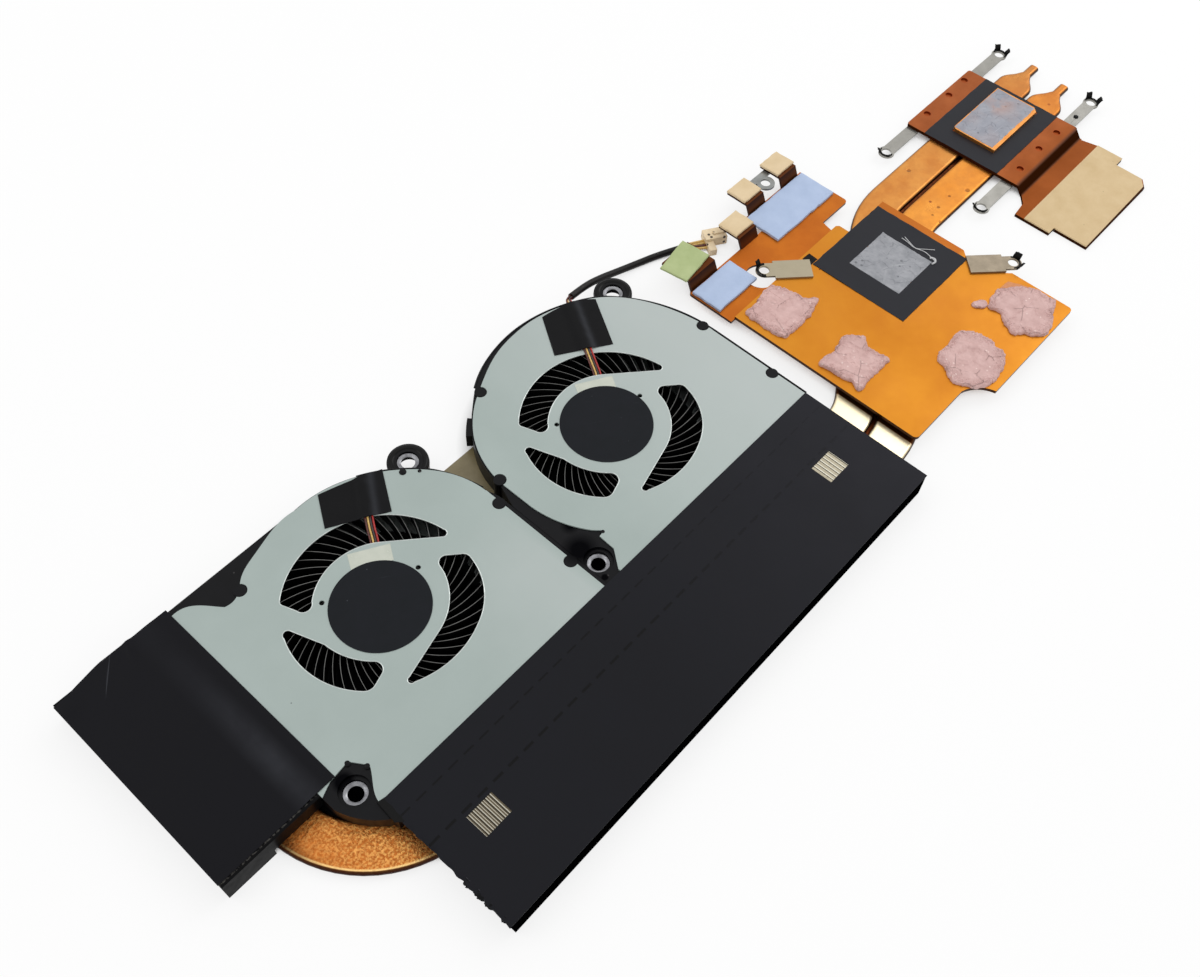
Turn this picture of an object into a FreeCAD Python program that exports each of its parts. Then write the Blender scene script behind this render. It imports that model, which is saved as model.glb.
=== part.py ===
# Laptop heatsink with two blower fans, seen from its contact side.
# X runs along the long fin stack, Y runs from its outlet towards the fans, Z is up.
# The layout below is drawn from the front left corner of the long fin stack, and the finished
# pieces are moved so that the middle of their box stands on the origin.
import FreeCAD
import Part
import math
import os

# Sheet and film thicknesses
COVER_SHEET = 0.4
BACK_SHEET = 0.4
TAPE_SHEET = 0.15
FILM_SHEET = 0.1
LABEL_SHEET = 0.12
PLATE_SHEET = 1.0
SIDE_PLATE_SHEET = 0.8
SPRING_SHEET = 0.6
CLIP_SHEET = 0.5
BRIDGE_SHEET = 0.3

# Heights
BODY_HEIGHT = 7.2
PIPE_HEIGHT = 0.4
COLD_BLOCK_HEIGHT = 1.2
CPU_BLOCK_RISE = 1.2
WING_STEP = 2.4
TAB_RISE = 3.3
PAD_THICKNESS = 1.0
TAB_PAD_THICKNESS = 0.8
WING_PAD_THICKNESS = 0.5
PASTE_THICKNESS = 0.2
PUTTY_THICKNESS = 1.3

# Clearances
FIT_CLEARANCE = 0.1
PIPE_CLEARANCE = 0.25
RUNNING_CLEARANCE = 0.03
NOTCH_CLEARANCE = 0.15

# Fins
FIN_PITCH = 1.25
FIN_THICKNESS = 0.3
FIN_FLANGE = 0.3
FLANGE_GROOVE = 0.14
FLANGE_GROOVE_DEPTH = 0.12
STACK_LENGTH = 148.5
STACK_DEPTH = 32.4
STACK_LIP = 8.0
LEFT_STACK_LENGTH = 58.6
LEFT_STACK_DEPTH = 26.1
LEFT_STACK_LIP = 12.6
LEFT_STACK_Y = 48.7

# Tapes
TAPE_DEPTH = 38.5
TAPE_OVERHANG_LEFT = 1.5
TAPE_OVERHANG_RIGHT = 0.7
TAPE_WINDOW = (7.5, 6.2)
TAPE_WINDOWS_X = (12.45, 134.5)
TAPE_WINDOW_Y = 19.7
LEFT_TAPE_Y = 49.7
LEFT_TAPE_RIGHT = -4.1
LEFT_TAPE_TOP = 108.4
LEFT_TAPE_DROP = 1.9
LEFT_TAPE_SIDE = 0.25

# Heat pipes, flattened from a round one
PIPE_WIDTH = 11.4
PIPE_THICKNESS = 2.0
PIPE_PITCH = 12.3
LONG_PIPE_Y = 26.3
CORNER_BEND = 27.0
PIPE_END_Y = 103.0
SHORT_PIPE_START = 5.0
S_BEND_START = 150.5
S_BEND_RADIUS = 21.0
S_BEND_ANGLE = 32.0
S_BEND_SHIFT = 40.6
TAPER_START = 303.0
TAPER_LENGTH = 8.0
TIP_WIDTH = 3.2
TIP_LENGTH = 5.0
TIP_STAGGER = 1.6

# Fans
HUB_1 = (30.35, 73.2)
HUB_2 = (105.35, 68.6)
LABEL_RADIUS = 12.15
LABEL_SHIFT_2 = (0.3, 1.4)
HUB_RADIUS = 13.2
HUB_WALL = 1.0
MAGNET_THICKNESS = 1.2
IMPELLER_RADIUS = 29.3
IMPELLER_BOTTOM = 1.2
HUB_HEIGHT = 4.4
BLADE_COUNT = 49
BLADE_THICKNESS = 0.16
BLADE_SWEEP = 0.79
BLADE_HEIGHT = 4.5
BLADE_RAISE = 0.2
BLADE_RING = 0.35
SHAFT_RADIUS = 1.5
BEARING_WALL = 1.5
BEARING_CLEARANCE = 1.0
STATOR_RADIUS = 9.6
STATOR_TEETH = 9
BOARD_RADIUS = 10.4
BOARD_THICKNESS = 0.7
INTAKE_RADIUS = 24.5
HOUSING_WALL = 1.6
COVER_INSET = 0.35
SILL_HEIGHT = 0.8
SILL_DEPTH = 1.2
BOOT_RADIUS = 5.3
EAR_BOTTOM = 2.9
EAR_HEIGHT = 3.2
POCKET_RADIUS = 3.7
BUSH_RADIUS = 2.9
BUSH_BORE = 1.5
BUSH_PROUD = 0.35
BUSH_SEAT = 0.2
STUD_RADIUS = 1.6
LOCATING_HOLE = 0.65
FAN_GAP = 0.1

# Wires and lead
WIRE_RADIUS = 0.25
WIRE_PITCH = 0.6
WIRE_COUNT = 4
LEAD_RADIUS = 1.0
PATCH_TUNNEL = 2.7

# Leaf springs and clips
LEAF_WIDTH = 4.0
LEAF_EYE = 1.5
GPU_LEAF_WIDTH = 6.6
EYE_RIM = 1.0
LEAF_HOLE = 0.7
LEAF_HOLE_FROM_EYE = 9.6
CLIP_INNER = 1.7
CLIP_OUTER = 2.5
CLIP_BACK = -0.5
CLIP_TAB = 1.5
CLIP_RISE = 1.6
CLIP_SPREAD = 48.0

# Derived heights
TAPE_TOP = BODY_HEIGHT + TAPE_SHEET
COVER_UNDER = BODY_HEIGHT - COVER_SHEET
PIPE_TOP = PIPE_HEIGHT + PIPE_THICKNESS
GPU_UNDER = PIPE_TOP + COLD_BLOCK_HEIGHT
GPU_TOP = GPU_UNDER + PLATE_SHEET
SIDE_TOP = GPU_UNDER
SIDE_UNDER = SIDE_TOP - SIDE_PLATE_SHEET
CPU_TOP = PIPE_TOP + PLATE_SHEET
BLOCK_TOP = CPU_TOP + CPU_BLOCK_RISE
TAB_TOP = SIDE_TOP + TAB_RISE
FAN_FRONT = STACK_DEPTH + FIT_CLEARANCE
SHORT_PIPE_Y = LONG_PIPE_Y - PIPE_PITCH
LEFT_PIPE_X = -16.4
CORNER_X = LEFT_PIPE_X + CORNER_BEND
CORNER_Y = LONG_PIPE_Y + CORNER_BEND
LEFT_STACK_RIGHT = -9.1
LEFT_STACK_X = LEFT_STACK_RIGHT - LEFT_STACK_DEPTH
LONG_PIPE_TOP_Y = LONG_PIPE_Y + S_BEND_SHIFT
SHORT_PIPE_TOP_Y = SHORT_PIPE_Y + S_BEND_SHIFT


def vector(x, y, z=0.0):
    return FreeCAD.Vector(x, y, z)


def box(x0, x1, y0, y1, z0, z1):
    return Part.makeBox(x1 - x0, y1 - y0, z1 - z0, vector(x0, y0, z0))


def disc(centre, radius, z0, z1):
    return Part.makeCylinder(radius, z1 - z0, vector(centre[0], centre[1], z0))


def ring(centre, inner, outer, z0, z1):
    return disc(centre, outer, z0, z1).cut(disc(centre, inner, z0 - 1, z1 + 1))


def wire_of(steps, z=0.0):
    # A step is a point for a straight line, an arc through two points or a smooth curve
    edges = []
    last = steps[0]
    for step in steps[1:] + [steps[0]]:
        if step[0] == "arc":
            middle, end = step[1], step[2]
            edges.append(Part.Arc(vector(*last, z), vector(*middle, z), vector(*end, z)).toShape())
        elif step[0] == "curve":
            end = step[1][-1]
            curve = Part.BSplineCurve()
            curve.interpolate([vector(*last, z)] + [vector(*point, z) for point in step[1]])
            edges.append(curve.toShape())
        else:
            end = step
            if math.dist(last, end) < 1e-6:
                continue
            edges.append(Part.LineSegment(vector(*last, z), vector(*end, z)).toShape())
        last = end
    return Part.Wire(edges)


def plate(steps, z0, z1):
    return Part.Face(wire_of(steps, z0)).extrude(vector(0, 0, z1 - z0))


def blob(points, z0, z1):
    # A smooth closed outline, for a dab of putty
    curve = Part.BSplineCurve()
    curve.interpolate([vector(x, y, z0) for x, y in points], PeriodicFlag=True)
    return Part.Face(Part.Wire([curve.toShape()])).extrude(vector(0, 0, z1 - z0))


def polar(centre, angle, radius):
    turn = math.radians(angle)
    return (centre[0] + radius * math.cos(turn), centre[1] + radius * math.sin(turn))


def offset(centre, points):
    # The steps of an outline, moved from the hub's own place to the fan
    moved = []
    for step in points:
        if step[0] == "arc":
            moved.append(("arc", shift(centre, step[1]), shift(centre, step[2])))
        else:
            moved.append(shift(centre, step))
    return moved


def shift(centre, point):
    return (centre[0] + point[0], centre[1] + point[1])


def fused(shapes):
    body = shapes[0].multiFuse(shapes[1:])
    return body.removeSplitter()


def rounded_corners(solid, radius):
    # The corners that stand along Z are rounded, where the plate is wide enough
    upright = []
    for edge in solid.Edges:
        first, last = edge.Vertexes[0].Point, edge.Vertexes[-1].Point
        if math.hypot(first.x - last.x, first.y - last.y) < 1e-6 and abs(first.z - last.z) > 1e-6:
            upright.append(edge)
    return solid.makeFillet(radius, upright)


# Fin stacks

def fin_stack(length, depth, lip, recess):
    # Fins stand across X and the air goes along Y. The folded flanges meet in shallow grooves on
    # top. Behind the lip the fins are cut shorter to make room for the pipes.
    count = int(length // FIN_PITCH)
    margin = (length - count * FIN_PITCH) / 2
    points = [vector(0, 0, 0), vector(length, 0, 0), vector(length, 0, BODY_HEIGHT)]
    for index in reversed(range(1, count)):
        x = margin + index * FIN_PITCH
        points.append(vector(x + FLANGE_GROOVE / 2, 0, BODY_HEIGHT))
        points.append(vector(x, 0, BODY_HEIGHT - FLANGE_GROOVE_DEPTH))
        points.append(vector(x - FLANGE_GROOVE / 2, 0, BODY_HEIGHT))
    points.append(vector(0, 0, BODY_HEIGHT))
    outer = Part.makePolygon(points + [points[0]])
    channels = []
    low, high = FIN_FLANGE, BODY_HEIGHT - FIN_FLANGE
    for index in range(count):
        x0 = margin + index * FIN_PITCH + FIN_THICKNESS / 2
        x1 = x0 + FIN_PITCH - FIN_THICKNESS
        corners = [vector(x0, 0, low), vector(x1, 0, low), vector(x1, 0, high), vector(x0, 0, high)]
        channels.append(Part.makePolygon(corners + [corners[0]]))
    body = Part.makeFace([outer] + channels, "Part::FaceMakerBullseye").extrude(vector(0, depth, 0))
    body = body.cut(box(-1, length + 1, lip, depth + 1, -1, recess))
    floor = box(0, length, lip, depth, recess, recess + FIN_FLANGE)
    return body.fuse(floor).removeSplitter()


def build_main_stack():
    return fin_stack(STACK_LENGTH, STACK_DEPTH, STACK_LIP, PIPE_TOP)


def build_left_stack():
    # The same fins, turned so that the air leaves towards -X
    body = fin_stack(LEFT_STACK_LENGTH, LEFT_STACK_DEPTH, LEFT_STACK_LIP, PIPE_TOP)
    body.rotate(vector(0, 0, 0), vector(0, 0, 1), -90)
    body.translate(vector(LEFT_STACK_X, LEFT_STACK_Y + LEFT_STACK_LENGTH, 0))
    return body


# Tapes

def build_main_tape():
    sheet = box(-TAPE_OVERHANG_LEFT, STACK_LENGTH + TAPE_OVERHANG_RIGHT, 0, TAPE_DEPTH, BODY_HEIGHT, TAPE_TOP)
    wide, deep = TAPE_WINDOW
    for x in TAPE_WINDOWS_X:
        window = box(x - wide / 2, x + wide / 2, TAPE_WINDOW_Y - deep / 2, TAPE_WINDOW_Y + deep / 2, 0, TAPE_TOP + 1)
        sheet = sheet.cut(window)
    return sheet


def build_left_tape():
    left = LEFT_STACK_X - LEFT_TAPE_SIDE
    bend = LEFT_STACK_X + LEFT_STACK_DEPTH / 2
    steps = [(left, LEFT_TAPE_Y), (LEFT_TAPE_RIGHT, LEFT_TAPE_Y), (LEFT_TAPE_RIGHT, LEFT_TAPE_TOP)]
    steps += [(bend, LEFT_TAPE_TOP), (left, LEFT_TAPE_TOP - LEFT_TAPE_DROP)]
    return plate(steps, BODY_HEIGHT, TAPE_TOP)


# Heat pipes

def flat_profile(width, thickness):
    # A slot shape in the plane across X, its flat sides up and down
    half, round_radius = width / 2 - thickness / 2, thickness / 2
    middle = PIPE_HEIGHT + round_radius
    top, low = middle + round_radius, middle - round_radius
    edges = [
        Part.LineSegment(vector(0, -half, top), vector(0, half, top)).toShape(),
        Part.Arc(vector(0, half, top), vector(0, half + round_radius, middle), vector(0, half, low)).toShape(),
        Part.LineSegment(vector(0, half, low), vector(0, -half, low)).toShape(),
        Part.Arc(vector(0, -half, low), vector(0, -half - round_radius, middle), vector(0, -half, top)).toShape(),
    ]
    return Part.Wire(edges)


def arc_by(centre, radius, first, last):
    points = [polar(centre, angle, radius) for angle in (first, (first + last) / 2, last)]
    return Part.Arc(*[vector(*point) for point in points]).toShape()


def line_by(first, last):
    return Part.LineSegment(vector(*first), vector(*last)).toShape()


def s_bend(start_y, first_radius, second_radius):
    # Two arcs with a straight run between them, as the pipes step over to the processor's side
    turn = math.radians(S_BEND_ANGLE)
    sine, cosine = math.sin(turn), math.cos(turn)
    run = (S_BEND_SHIFT - (first_radius + second_radius) * (1 - cosine)) / sine
    start = (S_BEND_START, start_y)
    lower = (S_BEND_START, start_y + first_radius)
    leave = (S_BEND_START + first_radius * sine, start_y + first_radius * (1 - cosine))
    meet = (leave[0] + run * cosine, leave[1] + run * sine)
    upper = (meet[0] + second_radius * sine, meet[1] - second_radius * cosine)
    finish = (upper[0], upper[1] + second_radius)
    edges = [arc_by(lower, first_radius, -90, S_BEND_ANGLE - 90), line_by(leave, meet)]
    edges.append(arc_by(upper, second_radius, 90 + S_BEND_ANGLE, 90))
    return start, edges, finish


def crimped_tip(x, y):
    # The pipe's end, drawn in to a flat crimp
    widths = [(0.0, PIPE_WIDTH), (0.34, PIPE_WIDTH * 0.86), (0.68, PIPE_WIDTH * 0.52), (1.0, TIP_WIDTH)]
    sections = []
    for share, width in widths:
        section = flat_profile(width, PIPE_THICKNESS)
        section.translate(vector(x + share * TAPER_LENGTH, y, 0))
        sections.append(section)
    taper = Part.makeLoft(sections, True, False)
    nose = Part.Face(sections[-1]).extrude(vector(TIP_LENGTH, 0, 0))
    return fused([taper, nose])


def pipe(path_edges, start, heading, end_x, end_y):
    profile = flat_profile(PIPE_WIDTH, PIPE_THICKNESS)
    profile.rotate(vector(0, 0, 0), vector(0, 0, 1), heading)
    profile.translate(vector(start[0], start[1], 0))
    body = Part.Wire(path_edges).makePipeShell([profile], True, True)
    solid = body if body.ShapeType == "Solid" else Part.Solid(body)
    return fused([solid, crimped_tip(end_x, end_y)])


def build_long_pipe():
    start = (LEFT_PIPE_X, PIPE_END_Y)
    corner = (CORNER_X, CORNER_Y)
    bend_start, bend, finish = s_bend(LONG_PIPE_Y, S_BEND_RADIUS, S_BEND_RADIUS + PIPE_PITCH)
    edges = [line_by(start, (LEFT_PIPE_X, CORNER_Y)), arc_by(corner, CORNER_BEND, 180, 270)]
    edges += [line_by((CORNER_X, LONG_PIPE_Y), bend_start)] + bend
    edges.append(line_by(finish, (TAPER_START, finish[1])))
    return pipe(edges, start, 90, TAPER_START, finish[1])


def build_short_pipe():
    start = (SHORT_PIPE_START, SHORT_PIPE_Y)
    end_x = TAPER_START - TIP_STAGGER
    bend_start, bend, finish = s_bend(SHORT_PIPE_Y, S_BEND_RADIUS + PIPE_PITCH, S_BEND_RADIUS)
    edges = [line_by(start, bend_start)] + bend + [line_by(finish, (end_x, finish[1]))]
    return pipe(edges, start, 0, end_x, finish[1])


def corner_clearance():
    # The space that the long pipe's bend needs under the housing of fan 1
    corner = (CORNER_X, CORNER_Y)
    half = PIPE_WIDTH / 2 + PIPE_CLEARANCE
    sweep = ring(corner, CORNER_BEND - half, CORNER_BEND + half, -1, PIPE_TOP + PIPE_CLEARANCE)
    quarter = box(CORNER_X - 2 * CORNER_BEND, CORNER_X, CORNER_Y - 2 * CORNER_BEND, CORNER_Y, -2, BODY_HEIGHT)
    bend = sweep.common(quarter)
    leg = box(LEFT_PIPE_X - half, LEFT_PIPE_X + half, CORNER_Y, PIPE_END_Y, -1, PIPE_TOP + PIPE_CLEARANCE)
    return bend.fuse(leg)


# Fan housings. A scroll is a list of angles and radii about the hub.
SCROLL_1 = [(7, 40.1), (29, 39.7), (40, 38.7), (58, 37.4), (84, 35.1)]
SCROLL_2 = [
    (2, 44.1), (24, 44.6), (45, 44.9), (60, 43.2), (80, 41.1), (92, 39.7), (105, 38.3), (114, 37.2),
    (121, 36.3), (128, 35.8), (138, 35.3), (150, 34.4), (165, 32.8),
]
COVER_SCROLL_2 = [
    (2, 43.8), (24, 44.2), (45, 44.5), (60, 42.8), (75, 41.0), (81, 40.1), (90, 38.9), (97, 37.9),
    (107, 36.5), (114, 35.9), (120, 35.7), (128, 35.4), (138, 34.95), (150, 34.0), (165, 32.5),
]
TAB_ANGLES = (127.5, 132.0, 136.5)
TAB_REACH = 1.7
TONGUE_RADIUS = 31.0
HOUSING_1_LEFT = -9.0
HOUSING_1_TOP = 107.9
HOUSING_1_STEP = 74.6
HOUSING_1_RIGHT = 71.05
COVER_1_RIGHT = 69.9
HOUSING_2_LEFT = HOUSING_1_RIGHT + FAN_GAP
HOUSING_2_RIGHT = 149.4
BRIDGE_TOP = 93.3
EAR_1_UPPER = (63.1, 99.2)
EAR_1_LOWER = (-3.3, 44.4)
EAR_2_UPPER = (141.3, 99.6)
EAR_2_LOWER = (74.3, 44.4)
STUDS_1 = [(10.8, 100.1), (69.4, 73.0), (69.4, 49.0)]
STUDS_2 = [(74.4, 77.8), (90.5, 100.8), (148.4, 73.0), (148.4, 49.0)]

# Intake slots about the hub: the long one, the left one and the lower right one
SLOT_LONG = [
    (-15.1, 18.1), ("arc", (0.5, 24.5), (16.6, 18.8)), ("arc", (21.7, 12.6), (24.6, 4.3)),
    ("arc", (23.9, 2.7), (22.6, 3.2)), (11.6, 12.8), ("arc", (1.1, 16.7), (-10.1, 12.4)),
    ("arc", (-12.4, 11.2), (-14.1, 13.1)), (-15.3, 16.3), ("arc", (-15.5, 17.4), (-15.1, 18.1)),
]
SLOT_LEFT = [
    (-20.7, 9.8), ("arc", (-19.4, 11.1), (-18.3, 10.0)), (-15.3, 1.8), ("arc", (-13.8, -4.4), (-10.5, -9.4)),
    ("arc", (-10.0, -11.7), (-11.3, -13.0)), (-14.0, -13.9), ("arc", (-15.9, -14.0), (-17.3, -13.0)),
    ("arc", (-22.2, -2.7), (-20.7, 9.8)),
]
SLOT_LOWER = [
    (16.9, -2.0), ("arc", (18.6, -0.8), (20.1, -1.4)), (22.6, -3.6), ("arc", (23.5, -4.7), (23.5, -6.2)),
    ("arc", (20.3, -13.6), (12.2, -19.9)), ("arc", (1.2, -22.0), (-7.7, -19.9)),
    ("arc", (-8.8, -18.8), (-7.7, -18.0)), (5.2, -14.5), ("arc", (12.4, -10.2), (16.3, -4.2)),
]
LOCATING_HOLES = [(-8.75, 10.5), (13.05, 1.1)]


def scroll(hub, table, inset):
    return [polar(hub, angle, radius - inset) for angle, radius in table]


def housing_1_outline(inset):
    curve = scroll(HUB_1, SCROLL_1, inset)
    right, top, left = HOUSING_1_RIGHT - inset, HOUSING_1_TOP - inset, HOUSING_1_LEFT
    steps = [(left, top), (left, 44.5), ("arc", (-6.3, 38.6), (-1.8, 33.9)), (-1.6, FAN_FRONT)]
    steps += [(right, FAN_FRONT), (right, HOUSING_1_STEP), curve[0], ("curve", curve[1:])]
    return steps


def housing_1_cavity():
    curve = scroll(HUB_1, SCROLL_1, HOUSING_WALL)
    right = HOUSING_1_RIGHT - HOUSING_WALL
    steps = [(right, FAN_FRONT - 1), (right, HOUSING_1_STEP), curve[0], ("curve", curve[1:])]
    steps += [(21.5, 104.6), ("curve", [(16.5, 101.9), (12.5, 98.9), (7.6, 97.4), (4.0, 99.0), (0.5, 103.2)])]
    steps += [(-2.5, 104.9), (HOUSING_1_LEFT - 1, 105.2), (HOUSING_1_LEFT - 1, 51.3), (1.2, 51.6)]
    steps += [(4.4, 46.4), (0.9, 41.8), (0.5, FAN_FRONT - 1)]
    return steps


def cover_1_outline():
    # The cover leaves the plastic bare at the upper left corner and round the lower ear
    curve = scroll(HUB_1, SCROLL_1, COVER_INSET)
    right = COVER_1_RIGHT
    steps = [(HOUSING_1_LEFT, 106.2), (HOUSING_1_LEFT, 48.2), (-5.5, 49.7), (0.0, 50.3), (2.7, 46.3)]
    steps += [("curve", [(0.6, 43.0), (-0.9, 40.6), (-1.5, 38.0)]), (-1.5, FAN_FRONT), (right, FAN_FRONT)]
    steps += [(right, curve[0][1]), curve[0], ("curve", curve[1:])]
    steps += [("curve", [(26.0, 107.3), (21.5, 105.9), (18.0, 104.8), (13.2, 102.6), (9.4, 99.4), (5.6, 99.2)])]
    steps += [("curve", [(2.8, 102.8), (0.3, 105.2), (-3.9, 106.2)])]
    return steps


def housing_2_outline(inset):
    curve = scroll(HUB_2, SCROLL_2, inset)
    right, left = HOUSING_2_RIGHT - inset, HOUSING_2_LEFT
    steps = [(left, FAN_FRONT), (right, FAN_FRONT), (right, curve[0][1]), curve[0], ("curve", curve[1:])]
    steps.append((left, 70.0))
    return steps


def housing_2_cavity():
    curve = scroll(HUB_2, SCROLL_2, HOUSING_WALL)
    right = HOUSING_2_RIGHT - HOUSING_WALL
    tongue = [polar(HUB_2, angle, TONGUE_RADIUS) for angle in (175, 196, 214)]
    steps = [(right, FAN_FRONT - 1), (right, curve[0][1]), curve[0], ("curve", curve[1:]), tongue[0]]
    steps += [("arc", tongue[1], tongue[2]), (82.6, 49.8), (81.0, 43.0), (79.6, 39.0), (79.6, FAN_FRONT - 1)]
    return steps


def cover_2_outline():
    curve = scroll(HUB_2, COVER_SCROLL_2, 0)
    right = HOUSING_2_RIGHT - COVER_INSET
    tongue = [polar(HUB_2, angle, TONGUE_RADIUS + COVER_INSET) for angle in (184, 200, 214)]
    steps = [(75.2, FAN_FRONT), (right, FAN_FRONT), (right, curve[0][1]), curve[0], ("curve", curve[1:])]
    steps += [tongue[0], ("arc", tongue[1], tongue[2]), (81.3, 48.9), (79.3, 48.6), (79.1, 43.8), (75.6, 39.2)]
    return steps


def ear(centre, boot):
    # A raised boot on the rim, or a pocket in the corner of the housing, with the bush's seat
    top = EAR_BOTTOM + EAR_HEIGHT
    add = disc(centre, boot, EAR_BOTTOM, top)
    seat = disc(centre, BUSH_RADIUS, -1, BODY_HEIGHT + 1)
    pocket = disc(centre, POCKET_RADIUS, top, BODY_HEIGHT + 1)
    return add, seat, pocket


def build_housing(outline, cavity, studs, ears, additions):
    body = plate(outline, BACK_SHEET, COVER_UNDER).cut(plate(cavity, -1, BODY_HEIGHT + 1))
    body = fused([body] + additions + [ear(centre, boot)[0] for centre, boot in ears])
    body = body.cut(plate(cavity, SILL_HEIGHT + BACK_SHEET, BODY_HEIGHT + 1))
    for centre, boot in ears:
        seat, pocket = ear(centre, boot)[1:]
        body = body.cut(seat).cut(pocket)
    return fused([body] + [disc(stud, STUD_RADIUS, BACK_SHEET, BODY_HEIGHT) for stud in studs])


def build_cover(outline, hub, studs):
    body = plate(outline, COVER_UNDER, BODY_HEIGHT)
    for slot in (SLOT_LONG, SLOT_LEFT, SLOT_LOWER):
        body = body.cut(plate(offset(hub, slot), COVER_UNDER - 1, BODY_HEIGHT + 1))
    for hole in LOCATING_HOLES:
        body = body.cut(disc(shift(hub, hole), LOCATING_HOLE, COVER_UNDER - 1, BODY_HEIGHT + 1))
    for stud in studs:
        body = body.cut(disc(stud, STUD_RADIUS + NOTCH_CLEARANCE, COVER_UNDER - 1, BODY_HEIGHT + 1))
    return body


def build_rotor(hub):
    floor = IMPELLER_BOTTOM
    cup = disc(hub, HUB_RADIUS, floor, floor + HUB_HEIGHT)
    cup = cup.cut(disc(hub, HUB_RADIUS - HUB_WALL, floor + HUB_WALL, floor + HUB_HEIGHT + 1))
    cup = cup.cut(disc(hub, SHAFT_RADIUS, floor - 1, floor + HUB_WALL + 1))
    outer = HUB_RADIUS - HUB_WALL
    magnet = ring(hub, outer - MAGNET_THICKNESS, outer, floor + HUB_WALL, floor + HUB_HEIGHT)
    shaft = disc(hub, SHAFT_RADIUS, floor, COVER_UNDER - BEARING_CLEARANCE / 2)
    return cup, magnet, shaft


def build_blades(hub):
    # Each blade follows a spiral whose angle grows with the logarithm of its radius
    low, radii = HUB_RADIUS - 0.5, 4
    centre_line = []
    for index in range(radii + 1):
        radius = low + (IMPELLER_RADIUS - low) * index / radii
        centre_line.append((radius, BLADE_SWEEP * math.log(radius / HUB_RADIUS)))

    def side(radius, angle, out):
        turn = angle + out * BLADE_THICKNESS / 2 / radius
        return (radius * math.cos(turn), radius * math.sin(turn))

    near = [side(radius, angle, -1) for radius, angle in centre_line]
    far = [side(radius, angle, 1) for radius, angle in reversed(centre_line)]
    steps = [near[0], ("curve", near[1:]), far[0], ("curve", far[1:])]
    bottom = IMPELLER_BOTTOM + BLADE_RAISE
    blade = plate(steps, bottom, bottom + BLADE_HEIGHT).cut(disc((0, 0), HUB_RADIUS, 0, BODY_HEIGHT))
    blades = [ring((0, 0), HUB_RADIUS, HUB_RADIUS + BLADE_RING, bottom, bottom + BLADE_HEIGHT)]
    for index in range(BLADE_COUNT):
        copy = blade.copy()
        copy.rotate(vector(0, 0, 0), vector(0, 0, 1), 360.0 * index / BLADE_COUNT)
        blades.append(copy)
    body = fused(blades)
    body.translate(vector(hub[0], hub[1], 0))
    return body


def build_motor(hub):
    # The board hangs under the cover, the bearing tube stands in it and carries the stator
    inner = SHAFT_RADIUS + RUNNING_CLEARANCE
    outer = SHAFT_RADIUS + BEARING_WALL
    low = IMPELLER_BOTTOM + HUB_WALL + BEARING_CLEARANCE / 2
    bearing = ring(hub, inner, outer, low, COVER_UNDER)
    board_bottom = COVER_UNDER - BOARD_THICKNESS
    board = ring(hub, outer, BOARD_RADIUS, board_bottom, COVER_UNDER)
    core = ring(hub, outer, STATOR_RADIUS * 0.55, low, board_bottom)
    teeth = []
    for index in range(STATOR_TEETH):
        tooth = box(outer + 0.4, STATOR_RADIUS, -0.9, 0.9, low + 0.4, board_bottom - 0.4)
        shoe = box(STATOR_RADIUS - 0.9, STATOR_RADIUS, -2.2, 2.2, low + 0.4, board_bottom - 0.4)
        arm = tooth.fuse(shoe)
        arm.rotate(vector(0, 0, 0), vector(0, 0, 1), 360.0 * index / STATOR_TEETH)
        arm.translate(vector(hub[0], hub[1], 0))
        teeth.append(arm)
    stator = fused([board, core] + teeth)
    return bearing, stator


def build_back_cover(outline, hub, pipe_space):
    body = plate(outline, 0, BACK_SHEET).cut(disc(hub, INTAKE_RADIUS, -1, BACK_SHEET + 1))
    return body.cut(pipe_space)


# Fan wires. The bundle is soldered under the board, crosses the long slot on its way over the
# cover and runs under the tape patch to the rim. The places are read about the hub.
WIRE_JOINT = (5.95, 7.78)
WIRE_LEAVE = (6.8, 8.9)
WIRE_PASS = (8.1, 10.6)
WIRE_INNER = (10.9, 13.9)
WIRE_OUTER = (13.3, 18.6)
WIRE_RIM_1 = (21.6, 30.6)
WIRE_RIM_2 = (24.0, 36.6)
WIRE_LIFT = 0.03
PATCH_1 = [(5.0, 25.3), (10.2, 33.9), (26.2, 28.1), (19.4, 17.2)]
PATCH_2 = [(7.4, 26.5), (14.9, 38.2), (24.0, 36.0), (29.8, 32.0), (21.2, 17.8)]


def tube(points, radius):
    # Straight runs joined by tangent arcs, as large as the runs allow
    vectors = [vector(*point) for point in points]
    edges = []
    radii = []
    last = vectors[0]
    for before, corner, after in zip(vectors, vectors[1:], vectors[2:]):
        inward = (corner - before)
        outward = (after - corner)
        turn = inward.getAngle(outward)
        shorter = min(inward.Length, outward.Length)
        bend = 0.45 * shorter / math.tan(turn / 2)
        radii.append(bend)
        reach = 0.45 * shorter
        start = corner - inward.normalize() * reach
        finish = corner + outward.normalize() * reach
        bisector = (start + finish) * 0.5 - corner
        depth = bend / math.cos(turn / 2) - bend
        middle = corner + bisector.normalize() * depth
        edges.append(Part.LineSegment(last, start).toShape())
        edges.append(Part.Arc(start, middle, finish).toShape())
        last = finish
    edges.append(Part.LineSegment(last, vectors[-1]).toShape())
    heading = vectors[1] - vectors[0]
    profile = Part.Wire([Part.makeCircle(radius, vectors[0], heading)])
    body = Part.Wire(edges).makePipeShell([profile], True, True)
    solid = body if body.ShapeType == "Solid" else Part.Solid(body)
    length = sum(edge.Length for edge in edges)
    return solid, length, radii


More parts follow.
